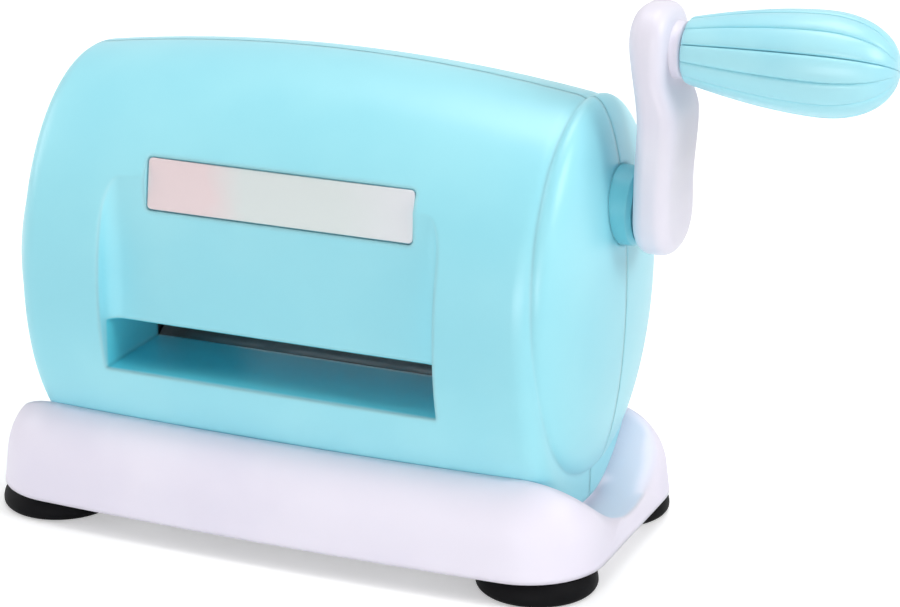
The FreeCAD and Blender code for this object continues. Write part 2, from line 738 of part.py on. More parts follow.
def suction_cups():
    """Four soft cups, each snapped through the bottom plate by its head."""
    rim = "cup_radius - cup_edge - cup_lip"
    hollow_round = f"(({rim}) ^ 2 + cup_hollow ^ 2) / (2 * cup_hollow)"
    head_top = "plate_top + cup_head_height"
    profile = (
        (rim, "0"),
        ("cup_radius - cup_edge", "0", "cup_edge", -1),
        ("cup_radius", "cup_edge", "cup_height * 1.4", -1),
        ("cup_shoulder", "base_z"),
        ("cup_neck", "base_z"),
        ("cup_neck", "plate_top"),
        ("cup_head", "plate_top"),
        ("cup_neck", head_top),
        ("0", head_top),
        ("0", "cup_hollow", hollow_round, 1),
    )
    cups = []
    for row, end in (("front", "-1"), ("rear", "1")):
        for hand, side in (("left", "-1"), ("right", "1")):
            cup = turned(f"suction_cup_{row}_{hand}", profile, "V_Axis")
            cups.append(place(cup, f"{side} * cup_x", f"{end} * cup_y"))
    return cups


# Frame: two steel side plates with feet, tied across the top, and a bush in each bearing hole.

def side_plate(hand):
    """Side plate with a round top, a foot turned in under the rollers, and its bearing holes."""
    right = hand == "right"
    body = doc.addObject("PartDesign::Body", f"{hand}_side_plate")
    sketch = sketch_on(body, "YZ_Plane", "plate_x" if right else "-plate_out")
    top = "crank_z + plate_half"
    outline(sketch, (
        ("-plate_half", "inner_floor"),
        ("plate_half", "inner_floor"),
        ("plate_half", "crank_z", "plate_half", -1),
        ("0", top, "plate_half", -1),
        ("-plate_half", "crank_z"),
    ))
    round_hole(sketch, "0", "lower_z", "bush_outer")
    round_hole(sketch, "0", "upper_z", "bush_outer")
    if right:
        round_hole(sketch, "0", "crank_z", "crank_bush_outer")
    for end in ("-1", "1"):
        round_hole(sketch, f"{end} * tie_y", "tie_z", "screw_radius + screw_gap")
    pad(body, sketch, "plate_thick")

    foot = sketch_on(body, "XY_Plane", "inner_floor")
    inner, outer = ("plate_x - foot_length", "plate_x") if right else ("-plate_x", "foot_length - plate_x")
    outline(foot, (
        (inner, "-plate_half"),
        (outer, "-plate_half"),
        (outer, "plate_half"),
        (inner, "plate_half"),
    ))
    for x, y in frame_screw_spots():
        if x.startswith("-1") != right:
            round_hole(foot, x, y, "screw_radius + screw_gap")
    pad(body, foot, "plate_thick")
    return body


def tie_rod(name, end):
    """Rod between the side plates, drilled at both ends for its screws."""
    hole = "screw_radius + screw_gap"
    depth = "plate_out - tie_screw - screw_head_height / 2"
    body = turned(name, (
        (f"-({depth})", "0"),
        (depth, "0"),
        (depth, hole),
        ("plate_x", hole),
        ("plate_x", "tie_radius"),
        ("-plate_x", "tie_radius"),
        ("-plate_x", hole),
        (f"-({depth})", hole),
    ))
    return place(body, "0", f"{end} * tie_y", "tie_z")


def bush(label, side, journal, height):
    """Flanged bush pressed in a side plate from outside."""
    bore = f"{journal} + run_gap"
    outer = f"{bore} + bush_wall"
    flange = f"{outer} + bush_flange"
    body = turned(label, (
        ("plate_x", bore),
        ("flange_x", bore),
        ("flange_x", flange),
        ("plate_out", flange),
        ("plate_out", outer),
        ("plate_x", outer),
    ))
    turn = Rotation(Vector(0, 0, 1), 180) if side < 0 else None
    return place(body, "0", "0", height, turn)


def frame():
    parts = [side_plate("left"), side_plate("right")]
    parts += [tie_rod("front_tie_rod", "-1"), tie_rod("rear_tie_rod", "1")]
    for level in ("upper", "lower"):
        for hand, side in (("left", -1), ("right", 1)):
            parts.append(bush(f"{level}_{hand}_bush", side, "journal_radius", f"{level}_z"))
    parts.append(bush("crank_bush", 1, "crank_journal", "crank_z"))
    return parts


# Rollers, gears and the rings that keep them on.

def shaft_side(ring, journal):
    """Corners of a shaft's right end from its tip inwards, with the ring's groove."""
    groove = f"{journal} - ring_sink"
    inner = f"{ring} - ring_play / 2"
    outer = f"{ring} + ring_thick + ring_play / 2"
    tip = f"{ring} + ring_thick + ring_play + shaft_end"
    return [
        (tip, "0"),
        (tip, journal),
        (outer, journal),
        (outer, groove),
        (inner, groove),
        (inner, journal),
    ]


def mirrored_side(corners):
    """The same corners for the left end, in reverse order."""
    return [(f"-({x})", r) for x, r in reversed(corners)]


def shaft_flat(body, low, high, journal):
    """Mills the flat that keys a gear or the arm to its shaft."""
    sketch = sketch_on(body, "XY_Plane", f"{journal} - flat_sink")
    outline(sketch, (
        (low, f"-2 * {journal}"),
        (high, f"-2 * {journal}"),
        (high, f"2 * {journal}"),
        (low, f"2 * {journal}"),
    ))
    pocket(body, sketch, journal, back=True)


def roller(level):
    """Steel roller with its journals; the upper one carries a gear on both ends."""
    bevel = "ring_sink"
    right = shaft_side("geared_ring" if level == "upper" else "plain_ring", "journal_radius")
    left = mirrored_side(shaft_side("geared_ring", "journal_radius"))
    barrel_part = [
        ("roller_half", "journal_radius"),
        ("roller_half", f"roller_radius - {bevel}"),
        (f"roller_half - {bevel}", "roller_radius"),
        (f"{bevel} - roller_half", "roller_radius"),
        ("-roller_half", f"roller_radius - {bevel}"),
        ("-roller_half", "journal_radius"),
    ]
    body = turned(f"{level}_roller", right + barrel_part + left)
    shaft_flat(body, left[-1][0], "-gear_x", "journal_radius")
    if level == "upper":
        shaft_flat(body, "gear_x", right[0][0], "journal_radius")
    return place(body, "0", "0", f"{level}_z")


def tooth_outline(label, teeth, module, phase):
    """
    Closed outline of an involute gear in the YZ plane, about the X axis.
    Each flank is an arc through three points of the involute; phase turns the gear in tooth pitches.
    """
    count = int(value(teeth))
    size = value(module)
    angle = math.radians(value("pressure_angle"))
    pitch = size * count / 2
    base = pitch * math.cos(angle)
    tip = pitch + size
    root = pitch - 1.25 * size

    def involute(slope):
        return math.tan(slope) - slope

    def half_width(radius):
        slope = math.acos(min(base / radius, 1))
        return math.pi / (2 * count) + involute(angle) - involute(slope)

    def spot(radius, turn):
        return Vector(0, radius * math.sin(turn), radius * math.cos(turn))

    start = max(root, base)
    middle = (start + tip) / 2
    step = 2 * math.pi / count
    edges = []
    for index in range(count):
        centre = (index + phase) * step
        rise = [spot(radius, centre - half_width(radius)) for radius in (start, middle, tip)]
        fall = [spot(radius, centre + half_width(radius)) for radius in (tip, middle, start)]
        foot_in = spot(root, centre - half_width(start))
        foot_out = spot(root, centre + half_width(start))
        following = spot(root, centre + step - half_width(start))
        if root < start:
            edges.append(Part.LineSegment(foot_in, rise[0]))
        edges.append(Part.Arc(*rise))
        edges.append(Part.Arc(rise[2], spot(tip, centre), fall[0]))
        edges.append(Part.Arc(*fall))
        if root < start:
            edges.append(Part.LineSegment(fall[2], foot_out))
        edges.append(Part.Arc(foot_out, spot(root, centre + step / 2), following))
    feature = doc.addObject("Part::Feature", label)
    feature.Shape = Part.Face(Part.Wire([edge.toShape() for edge in edges]))
    return feature


def keyed_hole(label, journal, low, high, height):
    """The hole for a shaft with a flat, between two places along it."""
    round_part = rod(label + "_round", f"{journal} + key_gap", f"{high} - ({low})", low, "0", height, "X")
    below_flat = block(
        label + "_key",
        (low, high),
        (f"-2 * {journal}", f"2 * {journal}"),
        (f"{height} - 2 * {journal}", f"{height} + {journal} - flat_sink + key_gap"),
    )
    return shared(label, round_part, below_flat)


def gear(label, teeth, module, phase, journal, x, height):
    """Spur gear with a keyed bore, from x along the shaft."""
    teeth_face = tooth_outline(label + "_teeth", teeth, module, phase)
    blank = doc.addObject("Part::Extrusion", label + "_blank")
    blank.Base = teeth_face
    blank.Dir = Vector(1, 0, 0)
    blank.Solid = True
    bind(blank, LengthFwd="gear_width")
    place(teeth_face, x, "0", height)
    doc.recompute()
    bore = keyed_hole(label + "_bore", journal, f"{x} - wall", f"{x} + gear_width + wall", height)
    return cut(label, blank, bore)


def gears():
    """Two equal gears turn the rollers against each other; the crank's pinion turns the upper one."""
    left = "-gear_out"
    return [
        gear("upper_roller_gear", "roller_teeth", "roller_module", 0, "journal_radius", left, "upper_z"),
        gear("lower_roller_gear", "roller_teeth", "roller_module", 0.5, "journal_radius", left, "lower_z"),
        gear("drive_gear", "drive_teeth", "drive_module", 0.5, "journal_radius", "gear_x", "upper_z"),
        gear("crank_pinion", "pinion_teeth", "drive_module", 0, "crank_journal", "gear_x", "crank_z"),
    ]


def ring(label, x, journal, height):
    """Open retaining ring sprung into a shaft's groove."""
    groove = f"({journal} - ring_sink)"
    disc = rod(label + "_disc", f"{groove} + ring_width", "ring_thick", x, "0", height, "X")
    hole = rod(label + "_hole", groove, "ring_thick", x, "0", height, "X")
    mouth = block(
        label + "_mouth",
        (x, f"{x} + ring_thick"),
        (f"-{groove} * 0.8", f"{groove} * 0.8"),
        (f"{height} - 2 * {journal}", height),
    )
    return cut(label, disc, hole, mouth)


def rings():
    """Rings outside the rollers' outermost pieces, and one inside the crank's bush."""
    left = "-geared_ring - ring_thick"
    sets = (
        ("upper_retaining_rings", (left, "geared_ring"), "journal_radius", "upper_z"),
        ("lower_retaining_rings", (left, "plain_ring"), "journal_radius", "lower_z"),
    )
    parts = []
    for label, spots, journal, height in sets:
        parts.append(group(label, [ring(label + "_one", x, journal, height) for x in spots]))
    inside = "plate_x - ring_play - ring_thick"
    parts.append(ring("crank_retaining_ring", inside, "crank_journal", "crank_z"))
    return parts


# Crank: shaft, bowed arm, and a grip of two halves that spins on its pin.

def crank_shaft():
    """Stepped shaft with flats for the pinion and the arm, and a groove for its ring."""
    tip = "arm_x + arm_socket"
    corners = [
        (tip, "0"),
        (tip, "journal_radius"),
        ("arm_x", "journal_radius"),
        ("arm_x", "shaft_radius"),
        ("geared_ring", "shaft_radius"),
        ("geared_ring", "crank_journal"),
    ]
    corners += mirrored_side(shaft_side("ring_play - plate_x", "crank_journal"))
    body = turned("crank_shaft", corners)
    shaft_flat(body, "gear_x", "geared_ring", "crank_journal")
    shaft_flat(body, "arm_x", tip, "journal_radius")
    return place(body, "0", "0", "crank_z")


def ogee(start, end, side):
    """Corners of an S-curve that leaves and arrives upright; side is the first bulge's."""
    across = f"({end[0]} - ({start[0]}))"
    along = f"({end[1]} - ({start[1]}))"
    radius = f"(({across}) ^ 2 + ({along}) ^ 2) / (4 * abs({across}))"
    middle = (f"({start[0]} + {end[0]}) / 2", f"({start[1]} + {end[1]}) / 2")
    return [(*start, radius, side), (*middle, radius, -side)]


def arm_face():
    """The arm seen from the side of the machine: round ends and a slight waist."""
    body = doc.addObject("PartDesign::Body", "arm_face")
    sketch = sketch_on(body, "YZ_Plane", "arm_x - arm_thick")
    middle = "(crank_z + throw / 2)"
    waist = "arm_half - arm_waist"
    corners = ogee(("arm_half", "crank_z"), (waist, middle), -1)
    corners += ogee((waist, middle), ("arm_half", "grip_z"), 1)
    corners += [("arm_half", "grip_z", "arm_half", -1), ("0", "grip_z + arm_half", "arm_half", -1)]
    corners += ogee(("-arm_half", "grip_z"), (f"-({waist})", middle), -1)
    corners += ogee((f"-({waist})", middle), ("-arm_half", "crank_z"), 1)
    corners += [("-arm_half", "crank_z", "arm_half", -1), ("0", "crank_z - arm_half", "arm_half", -1)]
    outline(sketch, corners)
    pad(body, sketch, "3 * arm_thick")
    return body


def arm_edge():
    """The arm seen from the front of the machine: bowed out, its top leaning in."""
    body = doc.addObject("PartDesign::Body", "arm_edge")
    sketch = sketch_on(body, "XZ_Plane")
    low = "crank_z + shaft_radius"
    high = "grip_z - boss_radius"
    middle = "(crank_z + arm_crest * throw)"
    bottom = "crank_z - 2 * arm_half"
    top = "grip_z + 2 * arm_half"
    corners = [("arm_x", bottom), ("arm_out", bottom)]
    corners += ogee(("arm_out", low), ("arm_out + arm_bow", middle), 1)
    corners += ogee(("arm_out + arm_bow", middle), ("arm_out - arm_lean", high), -1)
    corners += [("arm_out - arm_lean", high), ("arm_out - arm_lean", top), ("arm_x - arm_lean", top)]
    corners += ogee(("arm_x - arm_lean", high), ("arm_x + arm_bow", middle), -1)
    corners += ogee(("arm_x + arm_bow", middle), ("arm_x", low), 1)
    corners += [("arm_x", low)]
    outline(sketch, corners)
    pad(body, sketch, "4 * arm_half", both_ways=True)
    return body


def crank_arm():
    """Bowed arm with rounded edges, a boss for the grip, and sockets for the shaft and the pin."""
    form = shared("arm_form", arm_face(), arm_edge())
    rounding = doc.addObject("Part::Fillet", "arm_rounded")
    rounding.Base = form
    radius = value("arm_round")
    rounding.Edges = [
        (index, radius, radius)
        for index, edge in enumerate(form.Shape.Edges, 1)
        if edge.BoundBox.XLength < edge.Length - 1e-3 and edge.BoundBox.YLength < edge.Length - 1e-3
    ]
    face = "arm_out - arm_lean"
    start = f"{face} - arm_round"
    boss = rod("grip_boss", "boss_radius", "boss_height + arm_round", start, "0", "grip_z", "X")
    whole = joined("arm_whole", rounding, boss)
    deep = "arm_x + arm_socket + key_gap"
    socket = keyed_hole("arm_socket", "journal_radius", "arm_x - wall", deep, "crank_z")
    pin = rod("pin_hole", "pin_radius + key_gap", "pin_seat", "boss_out - pin_seat", "0", "grip_z", "X")
    return cut("crank_arm", whole, socket, pin)


def grip_pin():
    """Headed pin pressed in the arm."""
    start = "boss_out - pin_seat"
    head = "grip_x + pin_reach"
    body = turned("grip_pin", (
        (f"{head} + pin_head_thick", "0"),
        (f"{head} + pin_head_thick", "pin_head"),
        (head, "pin_head"),
        (head, "pin_radius"),
        (start, "pin_radius"),
        (start, "0"),
    ))
    return place(body, "0", "0", "grip_z")


def grip_curve(inset):
    """Corners of the grip's outside from its tip to its neck, in two arcs that meet at the belly."""
    belly = f"(grip_belly - {inset})"
    run = "(grip_length - grip_belly_x)"
    nose = f"({run} ^ 2 + {belly} ^ 2) / (2 * {belly})"
    swell = "(grip_belly - grip_neck)"
    flank = f"(grip_belly_x ^ 2 + {swell} ^ 2) / (2 * {swell})"
    return [
        ("grip_length", "0", nose, -1),
        ("grip_belly_x", belly, flank, -1),
        ("0", f"grip_neck - {inset}"),
    ]


def grip_half(label, back):
    """Half of the grip: a core with the pin's room in it, and six flutes between grooves."""
    body = doc.addObject("PartDesign::Body", label)
    room = "pin_head + grip_gap"
    head_end = "pin_reach + pin_head_thick + grip_gap"
    core = sketch_on(body, "XZ_Plane")
    outline(core, grip_curve("grip_groove") + [
        ("0", "pin_bore"),
        ("pin_reach - run_gap", "pin_bore"),
        ("pin_reach - run_gap", room),
        (head_end, room),
        (head_end, "0"),
    ])
    turning = body.newObject("PartDesign::Revolution", label + "_core")
    turning.Profile = core
    turning.ReferenceAxis = (core, ["H_Axis"])
    turning.Angle = 180
    turning.Reversed = back
    doc.recompute()

    pitch = "360 / grip_flutes"
    flute = sketch_on(body, "XZ_Plane")
    lean = "-1" if back else "1"
    flute.AttachmentOffset = Placement(Vector(0, 0, 0), Rotation(Vector(1, 0, 0), 1))
    bind(flute, AttachmentOffset__Rotation__Angle=f"{lean} * {pitch} / 2 * 1 deg")
    outline(flute, grip_curve("0") + [
        ("0", "grip_neck - 2 * grip_groove"),
        ("grip_belly_x", "grip_belly - 3 * grip_groove"),
        ("grip_length - 0.3 * grip_belly", "0"),
    ])
    swell = body.newObject("PartDesign::Revolution", label + "_flute")
    swell.Profile = flute
    swell.ReferenceAxis = (flute, ["H_Axis"])
    swell.Midplane = True
    bind(swell, Angle=f"{pitch} - grip_groove_angle")
    doc.recompute()
    pattern = body.newObject("PartDesign::PolarPattern", label + "_flutes")
    pattern.Originals = [swell]
    pattern.Axis = (core, ["H_Axis"])
    pattern.Reversed = back
    bind(pattern, Angle=f"180 - {pitch}", Occurrences="grip_flutes / 2")
    body.Tip = pattern
    place(body, "grip_x", "0", "grip_z", Rotation(Vector(1, 0, 0), 1))
    bind(body, Placement__Rotation__Angle="(90 - grip_seam) * 1 deg")
    doc.recompute()
    return body


def crank():
    return [
        crank_shaft(),
        crank_arm(),
        grip_pin(),
        grip_half("grip_upper_half", True),
        grip_half("grip_lower_half", False),
    ]


# Screws, each set in one node.

def screw(label, length, x, y, z, turn=None):
    """Pan-headed screw along its own Z, the head's flat at its origin."""
    body = turned(label, (
        ("0", "-screw_head_height"),
        ("screw_head * 0.7", "-screw_head_height"),
        ("screw_head", "-screw_head_height / 2"),
        ("screw_head", "0"),
        ("screw_radius", "0"),
        ("screw_radius", f"{length} - screw_radius / 2"),
        ("screw_radius / 2", length),
        ("0", length),
    ), "V_Axis")
    return place(body, x, y, z, turn)


def screws():
    """Screws of the bottom plate, the frame's feet, the tie rods and the housing."""
    ends = ("-1", "1")
    corners = [(side, end) for side in ends for end in ends]
    plate = [
        screw("plate_screw", "plate_screw", f"{side} * post_x", f"{end} * post_y", "base_z")
        for side, end in corners
    ]
    length = "inner_floor + plate_thick - frame_head_z"
    feet = [screw("foot_screw", length, x, y, "frame_head_z") for x, y in frame_screw_spots()]
    inward = {
        "-1": Rotation(Vector(0, 1, 0), 90),
        "1": Rotation(Vector(0, 1, 0), -90),
    }
    ties = [
        screw("tie_screw", "tie_screw", f"{side} * plate_out", f"{end} * tie_y", "tie_z", inward[side])
        for side, end in corners
    ]
    forward = Rotation(Vector(1, 0, 0), 90)
    length = "housing_head_y + housing_bite - screw_gap"
    housing = [
        screw("shell_screw", length, x, "housing_head_y", z, forward)
        for x, z in housing_screw_spots()
    ]
    return [
        group("bottom_plate_screws", plate),
        group("frame_screws", feet),
        group("tie_rod_screws", ties),
        group("housing_screws", housing),
    ]


def write_parts(nodes):
    """Checks every object, then writes one file for each node."""
    for item in doc.Objects:
        if "Invalid" in item.State or "Error" in item.State:
            raise RuntimeError(f"{item.Label} failed")
    os.makedirs("parts", exist_ok=True)
    for node in nodes:
        shape = node.Shape
        if shape.isNull() or not shape.isValid() or not shape.Solids:
            raise RuntimeError(f"{node.Label} has no sound shape")
        shape.exportStep(f"parts/{node.Label}.step")


def build():
    fill_sheet()
    nodes = base_shell() + bottom_plate() + suction_cups()
    nodes += shells() + shaft_collar()
    nodes += frame() + [roller("upper"), roller("lower")] + gears() + rings()
    nodes += crank() + screws()
    doc.recompute()
    write_parts(nodes)


build()
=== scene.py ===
import json
import math

import bmesh
import bpy
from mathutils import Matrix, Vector


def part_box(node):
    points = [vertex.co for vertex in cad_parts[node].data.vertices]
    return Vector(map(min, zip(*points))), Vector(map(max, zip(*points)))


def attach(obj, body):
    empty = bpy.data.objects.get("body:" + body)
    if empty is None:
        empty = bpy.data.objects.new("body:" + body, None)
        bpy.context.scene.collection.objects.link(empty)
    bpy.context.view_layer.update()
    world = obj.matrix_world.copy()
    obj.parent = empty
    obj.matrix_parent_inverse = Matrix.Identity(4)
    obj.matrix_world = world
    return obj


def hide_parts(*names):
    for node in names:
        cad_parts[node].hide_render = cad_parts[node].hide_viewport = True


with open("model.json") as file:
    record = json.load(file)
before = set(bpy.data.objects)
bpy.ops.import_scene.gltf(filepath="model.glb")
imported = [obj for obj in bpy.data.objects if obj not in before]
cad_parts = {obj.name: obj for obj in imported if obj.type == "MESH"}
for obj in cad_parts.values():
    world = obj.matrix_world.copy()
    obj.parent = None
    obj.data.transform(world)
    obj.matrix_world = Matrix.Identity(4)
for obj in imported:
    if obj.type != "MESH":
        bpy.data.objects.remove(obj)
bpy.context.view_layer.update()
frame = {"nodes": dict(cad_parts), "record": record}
nodes = frame["nodes"]
mm = 0.001
print("frame loaded:", len(nodes), "pieces")


class Wire:
    # one socket of a node tree; sums and products of wires become Math nodes
    def __init__(self, tree, socket=None):
        self.tree = tree
        self.socket = socket

    def make(self, kind, settings=None, inputs=None, output=0):
        node = self.tree.nodes.new(kind)
        for key, setting in (settings or {}).items():
            if key == "stops":
                fillRamp(node.color_ramp, setting)
            else:
                setattr(node, key, setting)
        for key, value in (inputs or {}).items():
            for one in value if isinstance(value, list) else [value]:
                if isinstance(one, Wire):
                    self.tree.links.new(one.socket, node.inputs[key])
                else:
                    node.inputs[key].default_value = one
        return Wire(self.tree, node.outputs[output])

    def maths(self, operation, first, second=None, third=None):
        values = {i: v for i, v in enumerate((first, second, third)) if v is not None}
        return self.make("ShaderNodeMath", {"operation": operation}, values)

    def __add__(self, other):
        return self.maths("ADD", self, other)

    def __radd__(self, other):
        return self.maths("ADD", other, self)

    def __sub__(self, other):
        return self.maths("SUBTRACT", self, other)

    def __rsub__(self, other):
        return self.maths("SUBTRACT", other, self)

    def __mul__(self, other):
        return self.maths("MULTIPLY", self, other)

    def __rmul__(self, other):
        return self.maths("MULTIPLY", other, self)

    def __truediv__(self, other):
        return self.maths("DIVIDE", self, other)

    def __rtruediv__(self, other):
        return self.maths("DIVIDE", other, self)

    def __pow__(self, other):
        return self.maths("POWER", self, other)

    def between(self, low, high):
        # 0 below low, 1 above high, smooth in the middle
        settings = {"interpolation_type": "SMOOTHSTEP"}
        return self.make("ShaderNodeMapRange", settings, {"Value": self, "From Min": low, "From Max": high})

    def mix(self, first, second):
        # two colours, mixed by this wire
        return self.make("ShaderNodeMix", {"data_type": "RGBA"}, {0: self, 6: first, 7: second}, 2)


def fillRamp(ramp, stops):
    while len(ramp.elements) < len(stops):
        ramp.elements.new(0.5)
    for element, (at, colour) in zip(ramp.elements, stops):
        element.position = at
        element.color = colour


def toLinear(*levels):
    # a colour read as 0 to 255 levels, as the shader wants it
    shares = [level / 255 for level in levels]
    return (*[((s + 0.055) / 1.055) ** 2.4 if s > 0.04045 else s / 12.92 for s in shares], 1)


def newFinish(name):
    finish = bpy.data.materials.new(name)
    finish.use_nodes = True
    tree = finish.node_tree
    tree.nodes.clear()
    shader = tree.nodes.new("ShaderNodeBsdfPrincipled")
    result = tree.nodes.new("ShaderNodeOutputMaterial")
    tree.links.new(shader.outputs[0], result.inputs[0])
    place = Wire(tree, tree.nodes.new("ShaderNodeTexCoord").outputs["Object"])
    return finish, shader, place


def feed(shader, wires):
    for name, wire in wires.items():
        shader.id_data.links.new(wire.socket, shader.inputs[name])


def noise(place, size, detail=2, rough=0.5):
    inputs = {"Vector": place, "Scale": 1 / size, "Detail": detail, "Roughness": rough}
    return place.make("ShaderNodeTexNoise", None, inputs)


def softEdges(place, radius):
    # shading normal with small rounds on sharp edges, and a mask of where those rounds are
    rounded = place.make("ShaderNodeBevel", {"samples": 6}, {"Radius": radius})
    true = place.make("ShaderNodeNewGeometry", None, None, "Normal")
    facing = place.make("ShaderNodeVectorMath", {"operation": "DOT_PRODUCT"}, {0: rounded, 1: true}, "Value")
    return rounded, (1 - facing).between(0.01, 0.12)


# moulded plastics: one recipe, a dictionary for each shot of plastic

# each look's edge colour is a painted highlight along the rounded edges
housingLook = {
    "colour": toLinear(159, 229, 241), "shade": toLinear(151, 224, 238), "edge": toLinear(180, 238, 248),
    "gloss": 0.34, "glossSpread": 0.07, "patch": 42 * mm, "grain": 0.45 * mm, "grainDepth": 0.012 * mm,
    "edgeRound": 1.8 * mm, "coat": 0.05,
    # deep: a deeper blue on the feed throat's walls, a painted shade for the dark inside of the slot
    "deep": {"colour": toLinear(105, 223, 241), "x": 40 * mm, "y": 33.4 * mm, "z": (39 * mm, 50 * mm)},
}
baseLook = {
    "colour": toLinear(243, 237, 250), "shade": toLinear(237, 231, 246), "edge": toLinear(247, 243, 252),
    "gloss": 0.46, "glossSpread": 0.08, "patch": 38 * mm, "grain": 0.5 * mm, "grainDepth": 0.012 * mm,
    "edgeRound": 1.8 * mm, "coat": 0,
}
crankLook = {
    "colour": toLinear(236, 232, 243), "shade": toLinear(230, 226, 239), "edge": toLinear(243, 239, 248),
    "gloss": 0.4, "glossSpread": 0.08, "patch": 24 * mm, "grain": 0.45 * mm, "grainDepth": 0.012 * mm,
    "edgeRound": 0.5 * mm, "coat": 0.04,
}
gripLook = {
    "colour": toLinear(172, 232, 243), "shade": toLinear(163, 227, 241), "edge": toLinear(190, 239, 248),
    "gloss": 0.36, "glossSpread": 0.07, "patch": 20 * mm, "grain": 0.4 * mm, "grainDepth": 0.012 * mm,
    "edgeRound": 0.3 * mm, "coat": 0.1,
}
# the collar's look is a darker copy of the housing blue: painted shade from the crank arm
collarShadeLook = {
    "colour": toLinear(112, 196, 212), "shade": toLinear(104, 189, 206), "edge": toLinear(134, 208, 222),
    "gloss": 0.4, "glossSpread": 0.06, "patch": 14 * mm, "grain": 0.45 * mm, "grainDepth": 0.012 * mm,
    "edgeRound": 0.4 * mm, "coat": 0,
}
coverLook = {
    "colour": toLinear(214, 214, 220), "shade": toLinear(204, 204, 212), "edge": toLinear(224, 224, 230),
    "gloss": 0.5, "glossSpread": 0.1, "patch": 30 * mm, "grain": 0.6 * mm, "grainDepth": 0.02 * mm,
    "edgeRound": 0.4 * mm, "coat": 0,
}


def throatShadeMask(place, deep):
    # 1 on the feed throat's walls, where a deeper blue is painted as shade, 0 on the outside of the housing
    x, y, z = [place.make("ShaderNodeSeparateXYZ", None, {0: place}, axis) for axis in "XYZ"]
    low, high = deep["z"]
    within = z.between(low - 0.8 * mm, low - 0.1 * mm) * z.between(high + 0.25 * mm, high + 0.05 * mm)
    along = x.maths("ABSOLUTE", x).between(deep["x"] + 1 * mm, deep["x"] + 0.3 * mm)
    return within * along * y.maths("ABSOLUTE", y).between(deep["y"], deep["y"] - 1.2 * mm)


def mouldedPlastic(name, look):
    finish, shader, place = newFinish(name)
    clouds = noise(place, look["patch"], 3)
    smudges = noise(place, look["patch"] / 3, 4, 0.6)
    grain = noise(place, look["grain"], 2)
    rounded, edges = softEdges(place, look["edgeRound"])
    body = clouds.between(0.35, 0.65).mix(look["shade"], look["colour"])
    bump = place.make("ShaderNodeBump", None, {
        "Strength": 0.35, "Distance": look["grainDepth"], "Height": grain, "Normal": rounded,
    })
    # paler colour on the rounded edges: a painted highlight
    tone = (edges * 0.6).mix(body, look["edge"])
    # painted shade: the feed throat's walls take a deeper blue than the outside
    if "deep" in look:
        tone = throatShadeMask(place, look["deep"]).mix(tone, look["deep"]["colour"])
    feed(shader, {
        "Base Color": tone,
        "Roughness": look["gloss"] + (smudges - 0.5) * look["glossSpread"] * 2,
        "Normal": bump,
    })
    shader.inputs["Coat Weight"].default_value = look["coat"]
    shader.inputs["Coat Roughness"].default_value = 0.22
    shader.inputs["Specular IOR Level"].default_value = 0.5
    return finish


# black rubber of the cups

rubberLook = {
    "colour": toLinear(15, 15, 17), "dust": toLinear(27, 27, 29), "gloss": 0.56, "grain": 0.35 * mm,
    "grainDepth": 0.03 * mm, "patch": 6 * mm, "specular": 0.07,
}


def softRubber(name, look):
    finish, shader, place = newFinish(name)
    bloom = noise(place, look["patch"], 5, 0.65).between(0.48, 0.78)
    grain = noise(place, look["grain"], 3)
    bump = place.make("ShaderNodeBump", None, {"Strength": 0.5, "Distance": look["grainDepth"], "Height": grain})
    feed(shader, {
        "Base Color": (bloom * 0.55).mix(look["colour"], look["dust"]),
        "Roughness": look["gloss"] + bloom * 0.18,
        "Normal": bump,
    })
    shader.inputs["Specular IOR Level"].default_value = look["specular"]
    return finish


# bare pale plate: a pearly sheet with a faint warm end

plateLook = {
    "warm": toLinear(236, 216, 218), "middle": toLinear(221, 229, 228), "cool": toLinear(230, 231, 236),
    "left": -30 * mm, "right": 33 * mm, "gloss": 0.24, "fibre": 0.25 * mm,
}


def pearlPlate(name, look):
    finish, shader, place = newFinish(name)
    along = place.make("ShaderNodeSeparateXYZ", None, {0: place}, "X")
    share = (along - look["left"]) / (look["right"] - look["left"])
    waver = noise(place, 14 * mm, 3) - 0.5
    stops = [(0, look["warm"]), (0.2, look["warm"]), (0.4, look["middle"]), (0.72, look["middle"]), (1, look["cool"])]
    tint = place.make("ShaderNodeValToRGB", {"stops": stops}, {"Fac": share + waver * 0.25})
    fibre = noise(place, look["fibre"], 2)
    bump = place.make("ShaderNodeBump", None, {"Strength": 0.2, "Distance": 0.01 * mm, "Height": fibre})
    feed(shader, {"Base Color": tint, "Roughness": look["gloss"] + (fibre - 0.5) * 0.12, "Normal": bump})
    shader.inputs["Coat Weight"].default_value = 0.2
    shader.inputs["Coat Roughness"].default_value = 0.15
    return finish


# metals: turned along X, rolled sheet, sintered, and plated

turnedLook = {
    "colour": (0.56, 0.57, 0.58, 1), "dark": (0.46, 0.47, 0.48, 1), "gloss": 0.3, "pitch": 0.22 * mm, "depth": 0.12,
}
sheetLook = {
    "colour": (0.50, 0.51, 0.52, 1), "dark": (0.38, 0.39, 0.41, 1), "gloss": 0.38, "pitch": 0.6 * mm, "depth": 0.4,
}
sinterLook = {
    "colour": (0.40, 0.40, 0.42, 1), "dark": (0.27, 0.27, 0.29, 1), "gloss": 0.46, "pitch": 0.3 * mm, "depth": 0.4,
}
bronzeLook = {
    "colour": (0.58, 0.40, 0.19, 1), "dark": (0.38, 0.25, 0.11, 1), "gloss": 0.42, "pitch": 0.25 * mm, "depth": 0.4,
}
platedLook = {
    "colour": (0.62, 0.63, 0.64, 1), "dark": (0.47, 0.48, 0.50, 1), "gloss": 0.24, "pitch": 0.5 * mm, "depth": 0.3,
}


